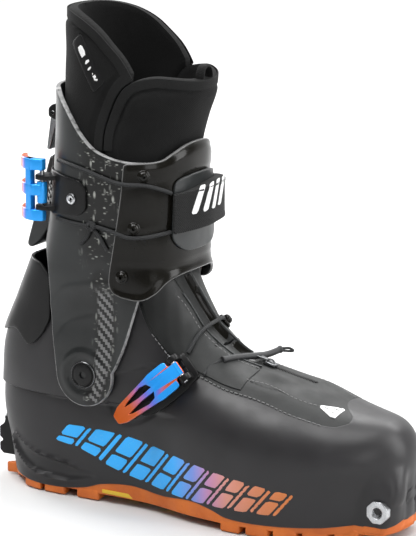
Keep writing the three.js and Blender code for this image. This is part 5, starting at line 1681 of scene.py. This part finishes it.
def build_toe_fitting():
    """The steel bar through the toe ends in an octagon with a conical socket on each side."""
    m = moved(SOCKET[0], 0, SOCKET[1], CROSSWISE)
    bar = [(3.6, -27.3), (6.0, -27.3), (6.0, 27.3), (3.6, 27.3)]
    parts = [placed(lathe_mesh(bar, 40), m)]
    for side in (-1, 1):
        cup = [(3.7, 27.25), (3.2, 27.0), (2.9, 26.2), (1.0, 23.2), (0, 23.0)]
        parts.append(placed(lathe_mesh([(r, side * h) for r, h in cup], 40), m))
        angle = np.radians(np.arange(8) * 45 + 22.5)
        octagon = np.stack([SOCKET[0] + 7.4 * np.cos(angle), SOCKET[1] + 7.4 * np.sin(angle)], -1)
        lie = moved(y=-22.5 if side < 0 else 27.5, turn=UPRIGHT)
        parts.append(slab([rounded(octagon, 0.8, 3), circle(*SOCKET, 3.7, 40)], 5, 0.3, lie))
    piece("toe_insert", "clog", STEEL, parts, "toe_fitting")


# ---------------------------------------------------------------- the rest of the liner


def build_pull_loop():
    def strap(base, across, width, height):
        a = np.linspace(0, math.pi, 15)
        path = np.stack([np.full(15, base[0]), base[1] + across * np.cos(a),
                         base[2] + height * np.sin(a) ** 0.8], -1)
        return ribbon(path, [1, 0, 0], width, 1.3)

    piece("liner_loop_front", "cuff", BINDING, [strap((143.5, 0, 270.5), 5.5, 6, 7.5)], "liner_pull_loop")


def ribbon(path, across, width, thick):
    """A flat strap along a line: across is the direction of its width."""
    path = even(smooth_line(path, 6), 0.8)
    tangent, _, _ = frames_along(path)
    w = np.asarray(across, float)
    w = unit(w - tangent * (tangent @ w)[:, None])
    n = np.cross(tangent, w)
    section = [(-0.5, -0.3), (-0.47, 0.3), (-0.4, 0.5), (0.4, 0.5), (0.47, 0.3), (0.5, -0.3), (0.4, -0.5),
               (-0.4, -0.5)]
    points = np.stack([path + w * u * width + n * v * thick for u, v in section + section[:1]], 1)
    run = run_along(path)
    count = len(section)
    uv = np.stack(np.broadcast_arrays(run[:, None], np.arange(count + 1)[None] * width / count),
                  -1).reshape(-1, 2)
    index = np.arange(len(path) * (count + 1)).reshape(len(path), count + 1)
    quads = np.stack([index[:-1, :-1], index[1:, :-1], index[1:, 1:], index[:-1, 1:]], -1).reshape(-1, 4)
    ends = [np.array([index[0, :count]]), np.array([index[-1, :count][::-1]])]
    return points.reshape(-1, 3), [quads, *ends], uv, np.zeros(len(uv))


# ---------------------------------------------------------------- build, stage, lights and camera

build_clog()
build_sole()
build_graphic()
build_gaiter()
build_zip()
build_badge()
build_toe_fitting()
build_heel_fitting()
build_achilles()
build_pivots()
build_instep_buckle()
build_instep_cables()
build_cuff()
build_tongue()
build_flap()
build_strap()
build_cuff_cords()
build_cuff_buckle()
build_rear_lock()
build_liner()
build_binding()
build_pull_loop()

KEPT = {"heel_fitting_screw": STEEL, "boot_board": DARK, "footbed": LINER_CLOTH,
        "liner_foot": LINER_CLOTH, "cable_anchor": DARK}
for node_name, node_material in KEPT.items():
    polish(frame["nodes"][node_name], node_material)

TARGET = np.array([146.0, 0.0, 153.0])  # design mm, the point that the camera faces
AZIMUTH, ELEVATION, FAR = math.radians(29), math.radians(13), 1800.0
SENSOR, VIEW_HEIGHT, SHIFT_Y = 36.0, 332.094, -0.004664  # mm, mm at the target, parts of the height


def aim(made, target=None):
    """Turns an object's -Z towards a point, with Y up."""
    goal = Vector(row(TARGET) if target is None else target)
    made.rotation_euler = (goal - made.location).to_track_quat("-Z", "Y").to_euler()


def build_camera():
    """A long lens, in front of the lateral side and a little above it."""
    data = bpy.data.cameras.new("camera")
    data.lens, data.sensor_width, data.shift_y = SENSOR * FAR / VIEW_HEIGHT, SENSOR, SHIFT_Y
    made = bpy.data.objects.new("camera", data)
    away = np.array([math.sin(AZIMUTH) * math.cos(ELEVATION), -math.cos(AZIMUTH) * math.cos(ELEVATION),
                     math.sin(ELEVATION)])
    made.location = row(TARGET + away * FAR)
    aim(made)
    bpy.context.scene.collection.objects.link(made)
    bpy.context.scene.camera = made


def light(name, place, size, power, target=None):
    data = bpy.data.lights.new(name, "AREA")
    data.shape, data.size, data.size_y = "RECTANGLE", size[0], size[1]
    data.energy = power
    made = bpy.data.objects.new(name, data)
    made.location = place
    aim(made, target)
    bpy.context.scene.collection.objects.link(made)


LIGHTS = [  # name, place in metres, size, power in watts
    ("overhead", (0.0, -0.3, 2.1), (1.8, 1.2), 42),
    ("key", (-0.7, -1.0, 2.1), (1.0, 1.0), 32),
    ("rim_right", (1.4, 0.35, 0.8), (0.7, 1.4), 22),
    ("rim_left", (-1.3, 0.6, 0.8), (0.6, 1.4), 20),
    ("fill", (1.5, -1.3, 0.7), (0.7, 0.9), 7),
    ("backdrop", (0.0, 2.3, 2.4), (3.2, 1.4), 150),
]
WORLD_STRENGTH = 0.16


def build_stage():
    """A pale floor that bends up into a wall, the lights and a faint even sky."""
    s = Shader("floor", Roughness=0.85)
    tone = s.mix(s.noise(s.place(), 3, 2), grey(0.50), grey(0.53))
    floor_material = s.finish(Base_Color=tone)
    mesh = bpy.data.meshes.new("floor")
    width, depth, wall, bend = 6.0, 3.8, 3.0, 1.2
    profile = [(-3.0, 0.0)] + [(depth - bend + bend * math.sin(a), bend - bend * math.cos(a))
                               for a in np.linspace(0, math.pi / 2, 10)] + [(depth, wall)]
    points = [(x, y, z - 0.0005) for y, z in profile for x in (-width, width)]
    faces = [(2 * k, 2 * k + 1, 2 * k + 3, 2 * k + 2) for k in range(len(profile) - 1)]
    mesh.from_pydata(points, [], faces)
    mesh.polygons.foreach_set("use_smooth", [True] * len(faces))
    floor = bpy.data.objects.new("floor", mesh)
    floor.data.materials.append(floor_material)
    bpy.context.scene.collection.objects.link(floor)
    for name, place, size, power in LIGHTS:
        light(name, place, size, power, (0.0, 2.6, 0.0) if name == "backdrop" else None)
    world = bpy.data.worlds.new("world")
    bpy.context.scene.world = world
    world.use_nodes = True
    world.node_tree.nodes["Background"].inputs["Color"].default_value = (1, 1, 1, 1)
    world.node_tree.nodes["Background"].inputs["Strength"].default_value = WORLD_STRENGTH


build_camera()
build_stage()
bpy.context.scene.view_settings.view_transform = "Standard"
